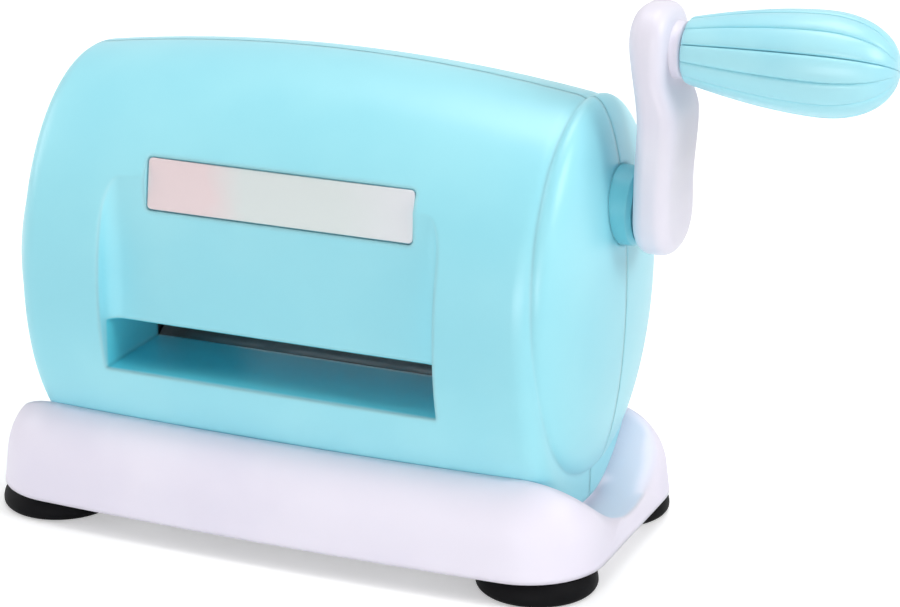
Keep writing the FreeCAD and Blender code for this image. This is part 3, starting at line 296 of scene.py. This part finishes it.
def metal(name, look, stretch):
    # stretch squeezes the marks along one axis, as a lathe or a rolling mill does
    finish, shader, place = newFinish(name)
    marks = place.make("ShaderNodeMapping", None, {"Vector": place, "Scale": stretch})
    lines = noise(marks, look["pitch"], 3, 0.6)
    stains = noise(place, 9 * mm, 4, 0.6).between(0.4, 0.75)
    rounded, edges = softEdges(place, 0.25 * mm)
    bump = place.make("ShaderNodeBump", None, {
        "Strength": look["depth"], "Distance": 0.02 * mm, "Height": lines, "Normal": rounded,
    })
    tone = (stains * 0.5 + lines * 0.4).mix(look["colour"], look["dark"])
    feed(shader, {
        "Base Color": (edges * 0.5).mix(tone, look["colour"]),
        "Roughness": look["gloss"] + stains * 0.14 + (lines - 0.5) * 0.1,
        "Normal": bump,
    })
    shader.inputs["Metallic"].default_value = 1
    return finish


finishes = {
    "housing_blue": mouldedPlastic("housingBlue", housingLook),
    "base_white": mouldedPlastic("baseWhite", baseLook),
    "crank_white": mouldedPlastic("crankWhite", crankLook),
    "grip_blue": mouldedPlastic("gripBlue", gripLook),
    "inner_plastic": mouldedPlastic("coverGrey", coverLook),
    "cup_rubber": softRubber("cupRubber", rubberLook),
    "label_plate": pearlPlate("pearlPlate", plateLook),
    "roller_steel": metal("turnedSteel", turnedLook, (1, 0.02, 0.02)),
    "frame_steel": metal("rolledSteel", sheetLook, (1, 1, 0.06)),
    "gear_steel": metal("sinteredSteel", sinterLook, (1, 1, 1)),
    "bush_bronze": metal("sinteredBronze", bronzeLook, (1, 1, 1)),
    "fastener_steel": metal("platedSteel", platedLook, (1, 1, 1)),
}
slotOf = {part["node"]: part["material_slot"] for part in frame["record"]["subparts"]}
# the collar takes the darker blue, a painted shade from the crank arm
ownFinish = {"shaft_collar": mouldedPlastic("collarShadeBlue", collarShadeLook)}
for name, piece in nodes.items():
    for index in range(len(piece.data.materials)):
        piece.data.materials[index] = ownFinish.get(name, finishes[slotOf[name]])
print("finishes ready:", len(finishes) + len(ownFinish))


def addPiece(name, mesh, body, replaced):
    # a made mesh that stands for CAD nodes, with their finish
    piece = bpy.data.objects.new(name, mesh)
    bpy.context.scene.collection.objects.link(piece)
    slotName = slotOf[replaced[0]]
    if not mesh.materials:
        mesh.materials.append(finishes[slotName])
    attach(piece, body)
    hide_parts(*replaced)
    return piece


def closeMesh(mesh, crease):
    # welds doubles, points faces outwards, and shades smooth up to the crease angle in degrees
    form = bmesh.new()
    form.from_mesh(mesh)
    bmesh.ops.remove_doubles(form, verts=form.verts, dist=0.004 * mm)
    bmesh.ops.recalc_face_normals(form, faces=form.faces)
    form.to_mesh(mesh)
    form.free()
    mesh.shade_smooth()
    mesh.set_sharp_from_angle(angle=math.radians(crease))
    return mesh


# node trees: named sizes in, a painted mesh out

def startTree(name, labels):
    tree = bpy.data.node_groups.new(name, "GeometryNodeTree")
    tree.is_modifier = True
    tree.interface.new_socket("Geometry", in_out="OUTPUT", socket_type="NodeSocketGeometry")
    tree.interface.new_socket("Points", in_out="INPUT", socket_type="NodeSocketGeometry")
    for label in labels:
        tree.interface.new_socket(label, in_out="INPUT", socket_type="NodeSocketFloat")
    source = tree.nodes.new("NodeGroupInput")
    return {socket.name: Wire(tree, socket) for socket in source.outputs if socket.name}


def endTree(geometry, finish):
    whole = geometry.make("GeometryNodeRealizeInstances", None, {0: geometry})
    painted = geometry.make("GeometryNodeSetMaterial", None, {"Geometry": whole, "Material": finish})
    result = geometry.tree.nodes.new("NodeGroupOutput")
    geometry.tree.links.new(painted.socket, result.inputs[0])
    return geometry.tree


def growMesh(name, tree, sizes, spots=(), ways=()):
    # runs a tree on loose points, each with the way it faces, and keeps a plain mesh
    seed = bpy.data.meshes.new(name + "Spots")
    seed.from_pydata(spots, [], [])
    facing = seed.attributes.new("facing", "FLOAT_VECTOR", "POINT")
    for spot, way in zip(facing.data, ways):
        spot.vector = way
    holder = bpy.data.objects.new(name + "Holder", seed)
    bpy.context.scene.collection.objects.link(holder)
    rule = holder.modifiers.new("rule", "NODES")
    rule.node_group = tree
    for socket in tree.interface.items_tree:
        if socket.in_out == "INPUT" and socket.name in sizes:
            rule[socket.identifier] = float(sizes[socket.name])
    graph = bpy.context.evaluated_depsgraph_get()
    mesh = bpy.data.meshes.new_from_object(holder.evaluated_get(graph), depsgraph=graph)
    holder.modifiers.remove(rule)
    bpy.data.objects.remove(holder)
    mesh.name = name
    return mesh


# fluted grip: two like halves round the pin, with a groove on the seam

gripForm = {
    "Length": 44.8 * mm, "Neck": 6.9 * mm, "Belly": 11 * mm, "Belly Place": 28.9 * mm,
    "Flank Power": 1.7, "Nose Power": 2.2, "End Round": 0.9 * mm,
    "Hollow": 0.3 * mm, "Groove": 0.6 * mm, "Flutes": 12, "Seam Gap": 0.05 * mm,
    "Bore": 2.55 * mm, "Room": 4.35 * mm, "Room Start": 22.3 * mm, "Room End": 25.7 * mm,
}
gripMesh = {"rows": 112, "arc": 96, "crowd": 0.75, "seamTurn": 23, "crease": 60, "stand": 1.1 * mm}


def flutedHalf(finish):
    size = startTree("flutedHalf", [*gripForm, "Start", "Height", "Turn"])
    rows, arc = gripMesh["rows"], gripMesh["arc"]
    columns = 2 * arc + 3                       # outside, bore, and the first column again
    sheet = size["Length"].make(
        "GeometryNodeMeshGrid", None, {"Size X": 1, "Size Y": 1, "Vertices X": rows, "Vertices Y": columns}
    )
    where = sheet.make("GeometryNodeInputPosition")
    row = (where.make("ShaderNodeSeparateXYZ", None, {0: where}, "X") + 0.5) * (rows - 1)
    column = (where.make("ShaderNodeSeparateXYZ", None, {0: where}, "Y") + 0.5) * (columns - 1)
    share = row.maths("MAXIMUM", (row - 1) / (rows - 2), 0)
    along = (1 - row.maths("COSINE", share * math.pi)) * 0.5 * size["Length"]

    # radius along the grip: swelling flank, blunt nose, rounded end at the arm
    flank = row.maths("MAXIMUM", 1 - along / size["Belly Place"], 0)
    nose = row.maths("MAXIMUM", (along - size["Belly Place"]) / (size["Length"] - size["Belly Place"]), 0)
    swell = size["Belly"] - (size["Belly"] - size["Neck"]) * flank ** size["Flank Power"]
    blunt = row.maths("MAXIMUM", 1 - nose ** size["Nose Power"], 0) ** (1 / size["Nose Power"])
    end = row.maths("MAXIMUM", 1 - along / size["End Round"], 0)
    crest = swell * blunt - size["End Round"] * (1 - row.maths("SQRT", 1 - end * end))

    # soft hollows with a fine groove in each, shallower where the grip is thin; columns crowd at the grooves
    half = arc + 0.5
    around = row.maths("MAXIMUM", (half - row.maths("ABSOLUTE", column - half)) / arc, 0)
    cell = around * size["Flutes"] * 0.5
    crowded = cell - row.maths("SINE", cell * (2 * math.pi)) * (gripMesh["crowd"] / (2 * math.pi))
    turn = crowded * (2 * math.pi) / size["Flutes"]
    valley = 1 - row.maths("ABSOLUTE", row.maths("SINE", crowded * math.pi))
    dip = size["Hollow"] * valley ** 2 + size["Groove"] * valley ** 12
    outside = crest - dip * (crest / size["Belly"])

    # bore for the pin, wider at its head, and closed towards the nose
    bored = row.maths("LESS_THAN", along, size["Room End"])
    roomy = row.maths("GREATER_THAN", along, size["Room Start"]) * bored
    inside = bored * size["Bore"] + roomy * (size["Room"] - size["Bore"])
    onBore = row.maths("GREATER_THAN", column, half) * row.maths("LESS_THAN", column, 2 * arc + 1.5)
    skin = (1 - onBore) * row.maths("GREATER_THAN", row, 0.5)
    radius = inside + (outside - inside) * skin

    # across and above the seam, turned about the grip's axis
    across = radius * row.maths("COSINE", turn)
    above = radius * row.maths("SINE", turn) + size["Seam Gap"]
    lean, rise = row.maths("SINE", size["Turn"]), row.maths("COSINE", size["Turn"])
    point = row.make("ShaderNodeCombineXYZ", None, {
        "X": along + size["Start"],
        "Y": above * lean - across * rise,
        "Z": across * lean + above * rise + size["Height"],
    })
    bent = sheet.make("GeometryNodeSetPosition", None, {"Geometry": sheet, "Position": point})
    return endTree(bent, finish)


gripLow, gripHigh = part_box("grip_lower_half")[0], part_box("grip_upper_half")[1]
gripPlace = {"Start": gripLow[0] + gripMesh["stand"], "Height": (gripLow[2] + gripHigh[2]) / 2}
gripTree = flutedHalf(finishes["grip_blue"])
for half, flip in (("upper", 0), ("lower", 180)):
    sizes = {**gripForm, **gripPlace, "Turn": math.radians(gripMesh["seamTurn"] + flip)}
    mesh = closeMesh(growMesh(half + "GripHalf", gripTree, sizes), gripMesh["crease"])
    addPiece(half + "GripHalf", mesh, "grip", [f"grip_{half}_half"])
print("grip ready")


# base: the moulding of the frame, its front edge drawn up along the barrel

baseForm = {
    "leftLift": 2 * mm, "rightLift": 1.7 * mm, "halfLength": 62 * mm,
    "rise": (11 * mm, 24 * mm), "front": (12 * mm, 27 * mm), "follow": 0.5, "crease": 32,
}


def eased(value, span):
    share = min(max((value - span[0]) / (span[1] - span[0]), 0), 1)
    return share * share * (3 - 2 * share)


def raisedBase(form):
    mesh = nodes["base_shell"].data.copy()
    mesh.name = "raisedBase"
    moulding = bmesh.new()
    moulding.from_mesh(mesh)
    bmesh.ops.remove_doubles(moulding, verts=moulding.verts, dist=0.002 * mm)
    for vert in moulding.verts:
        share = 0.5 + 0.5 * vert.co.x / form["halfLength"]
        lift = form["leftLift"] + (form["rightLift"] - form["leftLift"]) * share
        lift *= eased(vert.co.z, form["rise"]) * eased(-vert.co.y, form["front"])
        vert.co += Vector((0, -form["follow"] * lift, lift))
    moulding.to_mesh(mesh)
    moulding.free()
    return closeMesh(mesh, form["crease"])


addPiece("cradle_base", raisedBase(baseForm), "machine", ["base_shell"])
print("base ready")


# crank arm: a bar with blunt ends, bowed out in the middle, with a boss for the grip

armForm = {
    "endHalf": 9.6 * mm, "lowHalf": 10.3 * mm, "lowPower": 2.2, "highHalf": 9.6 * mm, "highPower": 2.7,
    "thick": 8.3 * mm, "round": 3.2 * mm, "lean": 1.9 * mm,
    "innerBow": 0.4 * mm, "innerRise": (7 * mm, 20 * mm), "innerFall": (19 * mm, 39 * mm),
    "outerBow": 0.9 * mm, "outerRise": (5 * mm, 20 * mm), "outerFall": (21 * mm, 31 * mm),
    "boss": 6 * mm, "bossRound": 0.7 * mm, "bossGap": 0.35 * mm,
    "sideSteps": 28, "endSteps": 36, "roundSteps": 9, "crease": 50,
}


def armOutline(form, throw):
    # middle line's height, and the outline's offset from it, anticlockwise as the grip sees it
    points = []
    for end, centre, first in (("high", throw, 0), ("low", 0, math.pi)):
        half, blunt = form[end + "Half"], 2 / form[end + "Power"]
        for i in range(form["endSteps"]):
            turn = first + math.pi * i / form["endSteps"]
            across, tall = math.cos(turn), math.sin(turn)
            across = math.copysign(abs(across) ** blunt, across) * half
            points.append((centre, across, math.copysign(abs(tall) ** blunt, tall) * form["endHalf"]))
        side = -1 if first == 0 else 1
        for i in range(form["sideSteps"]):
            share = i / form["sideSteps"] if first else 1 - i / form["sideSteps"]
            half = form["lowHalf"] + (form["highHalf"] - form["lowHalf"]) * share
            points.append((throw * share, side * half, 0))
    return points


def armMesh(form):
    low, high = [Vector(corner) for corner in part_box("crank_arm")]
    axis = low.z + form["endHalf"]
    throw = high.z - form["endHalf"] - axis
    inner = low.x + form["lean"]
    outline = armOutline(form, throw)

    # rings from the inner face's middle line out, over the rounded edges, and in again
    turns = [math.pi / 2 * i / form["roundSteps"] for i in range(form["roundSteps"] + 1)]
    edge = [(form["round"] * (1 - math.cos(t)), form["round"] * (1 - math.sin(t))) for t in turns]
    flat = [(form["endHalf"] * share, 0) for share in (0.5, 0.75, 1)]
    rings = [("inner", *ring) for ring in reversed(edge + flat)] + [("outer", *ring) for ring in edge + flat]
    verts, faces = [], []
    for face, inset, drop in rings:
        for centre, across, tall in outline:
            keep = 1 - inset / form["endHalf"]
            height = centre + tall * keep
            bow = form[face + "Bow"] * eased(height, form[face + "Rise"])
            bow -= (form[face + "Bow"] + form["lean"]) * eased(height, form[face + "Fall"])
            x = inner + bow + (drop if face == "inner" else form["thick"] - drop)
            verts.append((x, across * keep, axis + height))
    count = len(outline)
    for ring in range(len(rings) - 1):
        for i in range(count):
            j = (i + 1) % count
            faces.append((ring * count + i, ring * count + j, (ring + 1) * count + j, (ring + 1) * count + i))

    # boss under the grip
    end = gripPlace["Start"] - form["bossGap"]
    soft = form["bossRound"]
    start = inner + form["thick"] / 2
    profile = [(0, start), (form["boss"], start)]
    profile += [(form["boss"] - soft * (1 - math.cos(t)), end - soft * (1 - math.sin(t))) for t in turns]
    profile.append((0, end))
    first, steps = len(verts), 2 * form["endSteps"]
    for step in range(steps):
        turn = 2 * math.pi * step / steps
        verts += [(x, r * math.cos(turn), axis + throw + r * math.sin(turn)) for r, x in profile]
        here, there = first + step * len(profile), first + (step + 1) % steps * len(profile)
        faces += [(here + i, there + i, there + i + 1, here + i + 1) for i in range(len(profile) - 1)]
    mesh = bpy.data.meshes.new("crankArm")
    mesh.from_pydata(verts, [], faces)
    return closeMesh(mesh, form["crease"])


addPiece("bowed_arm", armMesh(armForm), "crank", ["crank_arm"])
print("arm ready")


# cross-head screws, each group in one piece

screwForm = {"Head Radius": 2.8 * mm, "Head Height": 1.8 * mm, "Shank Radius": 1.5 * mm, "Length": 8 * mm}
screwMesh = {"sides": 40, "rings": 6, "recess": 0.62, "slit": 0.2, "crease": 35}


def crossScrews(finish):
    size = startTree("crossScrews", screwForm)
    rim, dome = size["Head Height"] * 0.55, size["Head Height"] * 0.45
    disc = rim.make("GeometryNodeMeshCylinder", {"fill_type": "TRIANGLE_FAN"}, {
        "Vertices": screwMesh["sides"], "Fill Segments": screwMesh["rings"],
        "Radius": size["Head Radius"], "Depth": rim,
    })
    where = rim.make("GeometryNodeInputPosition")
    level = rim.make("ShaderNodeSeparateXYZ", None, {0: where}, "Z")
    flat = rim.make("ShaderNodeVectorMath", {"operation": "MULTIPLY"}, {0: where, 1: (1, 1, 0)})
    out = rim.make("ShaderNodeVectorMath", {"operation": "LENGTH"}, {0: flat}, "Value") / size["Head Radius"]
    lift = rim.maths("GREATER_THAN", level, 0) * dome * (1 - out * out) + rim * 0.5
    raised = rim.make("ShaderNodeCombineXYZ", None, {"Z": lift})
    head = rim.make("GeometryNodeSetPosition", None, {"Geometry": disc, "Offset": raised})

    # recess: two crossed bars cut from the crown
    bars = []
    for long, short in ((screwMesh["recess"], screwMesh["slit"]), (screwMesh["slit"], screwMesh["recess"])):
        shape = rim.make("ShaderNodeCombineXYZ", None, {
            "X": size["Head Radius"] * (2 * long),
            "Y": size["Head Radius"] * (2 * short),
            "Z": size["Head Height"],
        })
        bar = rim.make("GeometryNodeMeshCube", None, {"Size": shape})
        top = rim.make("ShaderNodeCombineXYZ", None, {"Z": size["Head Height"]})
        bars.append(rim.make("GeometryNodeTransform", None, {"Geometry": bar, "Translation": top}))
    cross = rim.make("GeometryNodeMeshBoolean", {"operation": "UNION"}, {"Mesh 2": bars})
    slotted = rim.make("GeometryNodeMeshBoolean", {"operation": "DIFFERENCE"}, {"Mesh 1": head, "Mesh 2": cross})
    shank = rim.make(
        "GeometryNodeMeshCylinder", None, {"Vertices": 24, "Radius": size["Shank Radius"], "Depth": size["Length"]}
    )
    below = rim.make("ShaderNodeCombineXYZ", None, {"Z": size["Length"] * -0.5})
    stem = rim.make("GeometryNodeTransform", None, {"Geometry": shank, "Translation": below})
    screw = rim.make("GeometryNodeJoinGeometry", None, {0: [slotted, stem]})

    facing = rim.make("GeometryNodeInputNamedAttribute", {"data_type": "FLOAT_VECTOR"}, {"Name": "facing"})
    aim = rim.make("FunctionNodeAlignRotationToVector", {"axis": "Z"}, {"Vector": facing})
    copies = rim.make(
        "GeometryNodeInstanceOnPoints", None, {"Points": size["Points"], "Instance": screw, "Rotation": aim}
    )
    return endTree(copies, finish)


screwTree = crossScrews(finishes["fastener_steel"])
screwGroups = {
    "bottom_plate_screws": {"heads": "down", "length": 8 * mm},
    "frame_screws": {"heads": "down", "length": 7.4 * mm},
    "tie_rod_screws": {"heads": "outward", "length": 8 * mm},
    "housing_screws": {"heads": "rearward", "length": 14.9 * mm, "lowPair": 22 * mm},
}


def screwPlaces(node, group):
    # seats and head directions, worked out from the group's box
    low, high = [Vector(corner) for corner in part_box(node)]
    edge, tall = screwForm["Head Radius"], screwForm["Head Height"]
    wide, deep = high.x - edge, high.y - edge
    signs = [(side, face) for side in (-1, 1) for face in (-1, 1)]
    if group["heads"] == "down":
        return [((s * wide, f * deep, low.z + tall), (0, 0, -1)) for s, f in signs]
    if group["heads"] == "outward":
        middle = (low.z + high.z) / 2
        return [((s * (high.x - tall), f * deep, middle), (s, 0, 0)) for s, f in signs]
    pairs = ((group["lowPair"], low.z + edge), (wide, high.z - edge))
    return [((s * x, high.y - tall, z), (0, 1, 0)) for s in (-1, 1) for x, z in pairs]


for node, group in screwGroups.items():
    spots, ways = zip(*screwPlaces(node, group))
    mesh = growMesh(node + "Mesh", screwTree, {**screwForm, "Length": group["length"]}, spots, ways)
    addPiece(node + "_group", closeMesh(mesh, screwMesh["crease"]), "machine", [node])
print("screws ready")


# suction cups: turned rubber with a hollow under the rim and a snap head in the base

cupForm = {
    "radius": 13.4 * mm, "shoulder": 11.4 * mm, "lip": 1.2 * mm, "edge": 1.5 * mm, "height": 5.6 * mm,
    "hollow": 2.6 * mm, "neck": 4 * mm, "neckTop": 7.6 * mm, "head": 5.2 * mm, "top": 9.6 * mm,
    "steps": 96, "arc": 8, "crease": 40,
}


def cupProfile(form):
    # radius and height, from the hollow's middle out and up to the head
    shares = [i / form["arc"] for i in range(form["arc"] + 1)]
    mouth = form["radius"] - form["edge"] - form["lip"]
    profile = [(mouth * t, form["hollow"] * math.cos(t * math.pi / 2)) for t in shares]
    for t in shares:
        turn = t * math.pi / 2
        profile.append((form["radius"] - form["edge"] * (1 - math.sin(turn)), form["edge"] * (1 - math.cos(turn))))
    for t in shares[1:]:
        bulge = form["radius"] + (form["shoulder"] - form["radius"]) * t * t
        profile.append((bulge, form["edge"] + (form["height"] - form["edge"]) * t))
    profile += [(form["neck"], form["height"]), (form["neck"], form["neckTop"])]
    profile += [(form["head"], form["neckTop"]), (form["neck"], form["top"]), (0, form["top"])]
    return profile


def turnedCup(name, centre, form):
    verts, faces = [], []
    profile = cupProfile(form)
    count = len(profile)
    for step in range(form["steps"]):
        turn = 2 * math.pi * step / form["steps"]
        verts += [(centre.x + r * math.cos(turn), centre.y + r * math.sin(turn), z) for r, z in profile]
        here, there = step * count, (step + 1) % form["steps"] * count
        faces += [(here + i, there + i, there + i + 1, here + i + 1) for i in range(count - 1)]
    mesh = bpy.data.meshes.new(name)
    mesh.from_pydata(verts, [], faces)
    return closeMesh(mesh, form["crease"])


for side in ("front_left", "front_right", "rear_left", "rear_right"):
    low, high = [Vector(corner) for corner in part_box("suction_cup_" + side)]
    mesh = turnedCup("cup_" + side, (low + high) / 2, cupForm)
    addPiece("cup_" + side, mesh, "machine", ["suction_cup_" + side])
print("cups ready")


# bare plate in its shallow pocket, leaning back with the panel's top

plateForm = {
    "height": 11.4 * mm, "thick": 0.8 * mm, "tilt": 8.6, "corner": 1 * mm, "rim": 0.25 * mm,
    "arc": 8, "crease": 30,
}


def barePlate(form):
    low, high = [Vector(corner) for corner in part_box("label_plate")]
    centre = (low + high) / 2
    lean = math.radians(form["tilt"])
    up, out = Vector((0, math.sin(lean), math.cos(lean))), Vector((0, -math.cos(lean), math.sin(lean)))
    halfLength, halfHeight, halfThick = (high.x - low.x) / 2, form["height"] / 2, form["thick"] / 2
    turns = [i / form["arc"] * math.pi / 2 for i in range(form["arc"] + 1)]
    rings = [(form["rim"], -halfThick), (0, form["rim"] - halfThick)]
    rings += [(form["rim"] * (1 - math.cos(t)), halfThick - form["rim"] * (1 - math.sin(t))) for t in turns]
    form3d = bmesh.new()
    loops = []
    for inset, level in rings:
        loop = []
        for quarter in range(4):
            flatX = (halfLength - form["corner"]) * (1 if quarter in (0, 3) else -1)
            flatZ = (halfHeight - form["corner"]) * (1 if quarter < 2 else -1)
            for t in turns:
                angle = quarter * math.pi / 2 + t
                across = flatX + (form["corner"] - inset) * math.cos(angle)
                tall = flatZ + (form["corner"] - inset) * math.sin(angle)
                loop.append(form3d.verts.new(centre + Vector((across, 0, 0)) + up * tall + out * level))
        loops.append(loop)
    for here, there in zip(loops, loops[1:]):
        for i in range(len(here)):
            j = (i + 1) % len(here)
            form3d.faces.new((here[i], here[j], there[j], there[i]))
    form3d.faces.new(loops[0])
    form3d.faces.new(loops[-1])
    mesh = bpy.data.meshes.new("barePlate")
    form3d.to_mesh(mesh)
    form3d.free()
    return closeMesh(mesh, form["crease"])


addPiece("bare_plate", barePlate(plateForm), "machine", ["label_plate"])
print("plate ready")


# stage: pale floor, soft light, white ground, camera

cameraLook = {"place": (270.12, -560.34, 265.13), "target": (28.68, 0, 52.78), "lens": 116.46, "sensor": 36}
lightLook = {
    "world": 0.25, "horizon": 0.1, "floorGlow": 0.4,
    "overLamp": {"place": (0.1, 0.2, 1.5), "size": (0.9, 0.9), "power": 11},
    "sideLamp": {"place": (1.2, -0.1, 0.8), "size": (0.6, 0.6), "power": 8},
    "leftLamp": {"place": (-1.2, -0.3, 0.6), "size": (0.7, 0.7), "power": 5},
    "frontLamp": {"place": (0.3, -1.45, 0.17), "size": (1.2, 0.24), "power": 7.5},
}


def addCamera(look):
    data = bpy.data.cameras.new("camera")
    data.sensor_width = look["sensor"]
    data.lens = look["lens"]
    data.clip_start = 0.02
    data.clip_end = 20
    camera = bpy.data.objects.new("camera", data)
    camera.location = Vector(look["place"]) * mm
    aim = (Vector(look["target"]) - Vector(look["place"])).to_track_quat("-Z", "Y")
    camera.rotation_euler = aim.to_euler()
    bpy.context.scene.collection.objects.link(camera)
    bpy.context.scene.camera = camera


def addLamp(name, look):
    data = bpy.data.lights.new(name, "AREA")
    data.shape = "RECTANGLE"
    data.size, data.size_y = look["size"]
    data.energy = look["power"]
    lamp = bpy.data.objects.new(name, data)
    lamp.location = look["place"]
    lamp.rotation_euler = (Vector((0.01, 0, 0.06)) - lamp.location).to_track_quat("-Z", "Y").to_euler()
    bpy.context.scene.collection.objects.link(lamp)


def seenDirectly(tree):
    # 1 where a ray comes from the camera, a mirror or glass
    path = tree.nodes.new("ShaderNodeLightPath")
    rays = [Wire(tree, path.outputs[name]) for name in ("Is Camera Ray", "Is Glossy Ray", "Is Transmission Ray")]
    return rays[0].maths("MAXIMUM", rays[0].maths("MAXIMUM", rays[0], rays[1]), rays[2])


def whiteWorld(level, horizon):
    # light falls from overhead and fades to the horizon; mirrors and the camera see plain white
    world = bpy.data.worlds.new("whiteWorld")
    bpy.context.scene.world = world
    world.use_nodes = True
    tree = world.node_tree
    tree.nodes.clear()
    seen = seenDirectly(tree)
    way = seen.make("ShaderNodeTexCoord", None, None, "Generated")
    height = seen.make("ShaderNodeSeparateXYZ", None, {0: way}, "Z")
    sky = (height.between(0.05, 0.75) * (1 - horizon) + horizon) * level
    glow = seen.maths("MAXIMUM", seen, sky)
    ground = seen.make("ShaderNodeBackground", None, {"Color": (1, 1, 1, 1), "Strength": glow})
    result = tree.nodes.new("ShaderNodeOutputWorld")
    tree.links.new(ground.socket, result.inputs[0])


def paleFloor(size, level):
    mesh = bpy.data.meshes.new("floor")
    corners = [(-size, -size, 0), (size, -size, 0), (size, size, 0), (-size, size, 0)]
    mesh.from_pydata([(x, y, -0.05 * mm) for x, y, _ in corners], [], [(0, 1, 2, 3)])
    floor = bpy.data.objects.new("floor", mesh)
    bpy.context.scene.collection.objects.link(floor)
    finish, shader, place = newFinish("paleFloor")
    feed(shader, {"Base Color": noise(place, 0.3, 2).mix((0.86, 0.86, 0.87, 1), (0.88, 0.88, 0.88, 1))})
    shader.inputs["Roughness"].default_value = 0.9
    tree = finish.node_tree
    out = place.make("ShaderNodeVectorMath", {"operation": "LENGTH"}, {0: place}, "Value")
    strength = seenDirectly(tree) * (level + out.between(0.3, 0.9) * (1 - level))
    glow = place.make("ShaderNodeEmission", None, {"Color": (1, 1, 1, 1), "Strength": strength})
    total = place.make("ShaderNodeAddShader", None, {0: Wire(tree, shader.outputs[0]), 1: glow})
    result = next(n for n in tree.nodes if n.type == "OUTPUT_MATERIAL")
    tree.links.new(total.socket, result.inputs[0])
    mesh.materials.append(finish)


addCamera(cameraLook)
whiteWorld(lightLook["world"], lightLook["horizon"])
for name in ("overLamp", "sideLamp", "leftLamp", "frontLamp"):
    addLamp(name, lightLook[name])
paleFloor(4, lightLook["floorGlow"])
bpy.context.scene.view_settings.view_transform = "Standard"
print("stage ready")
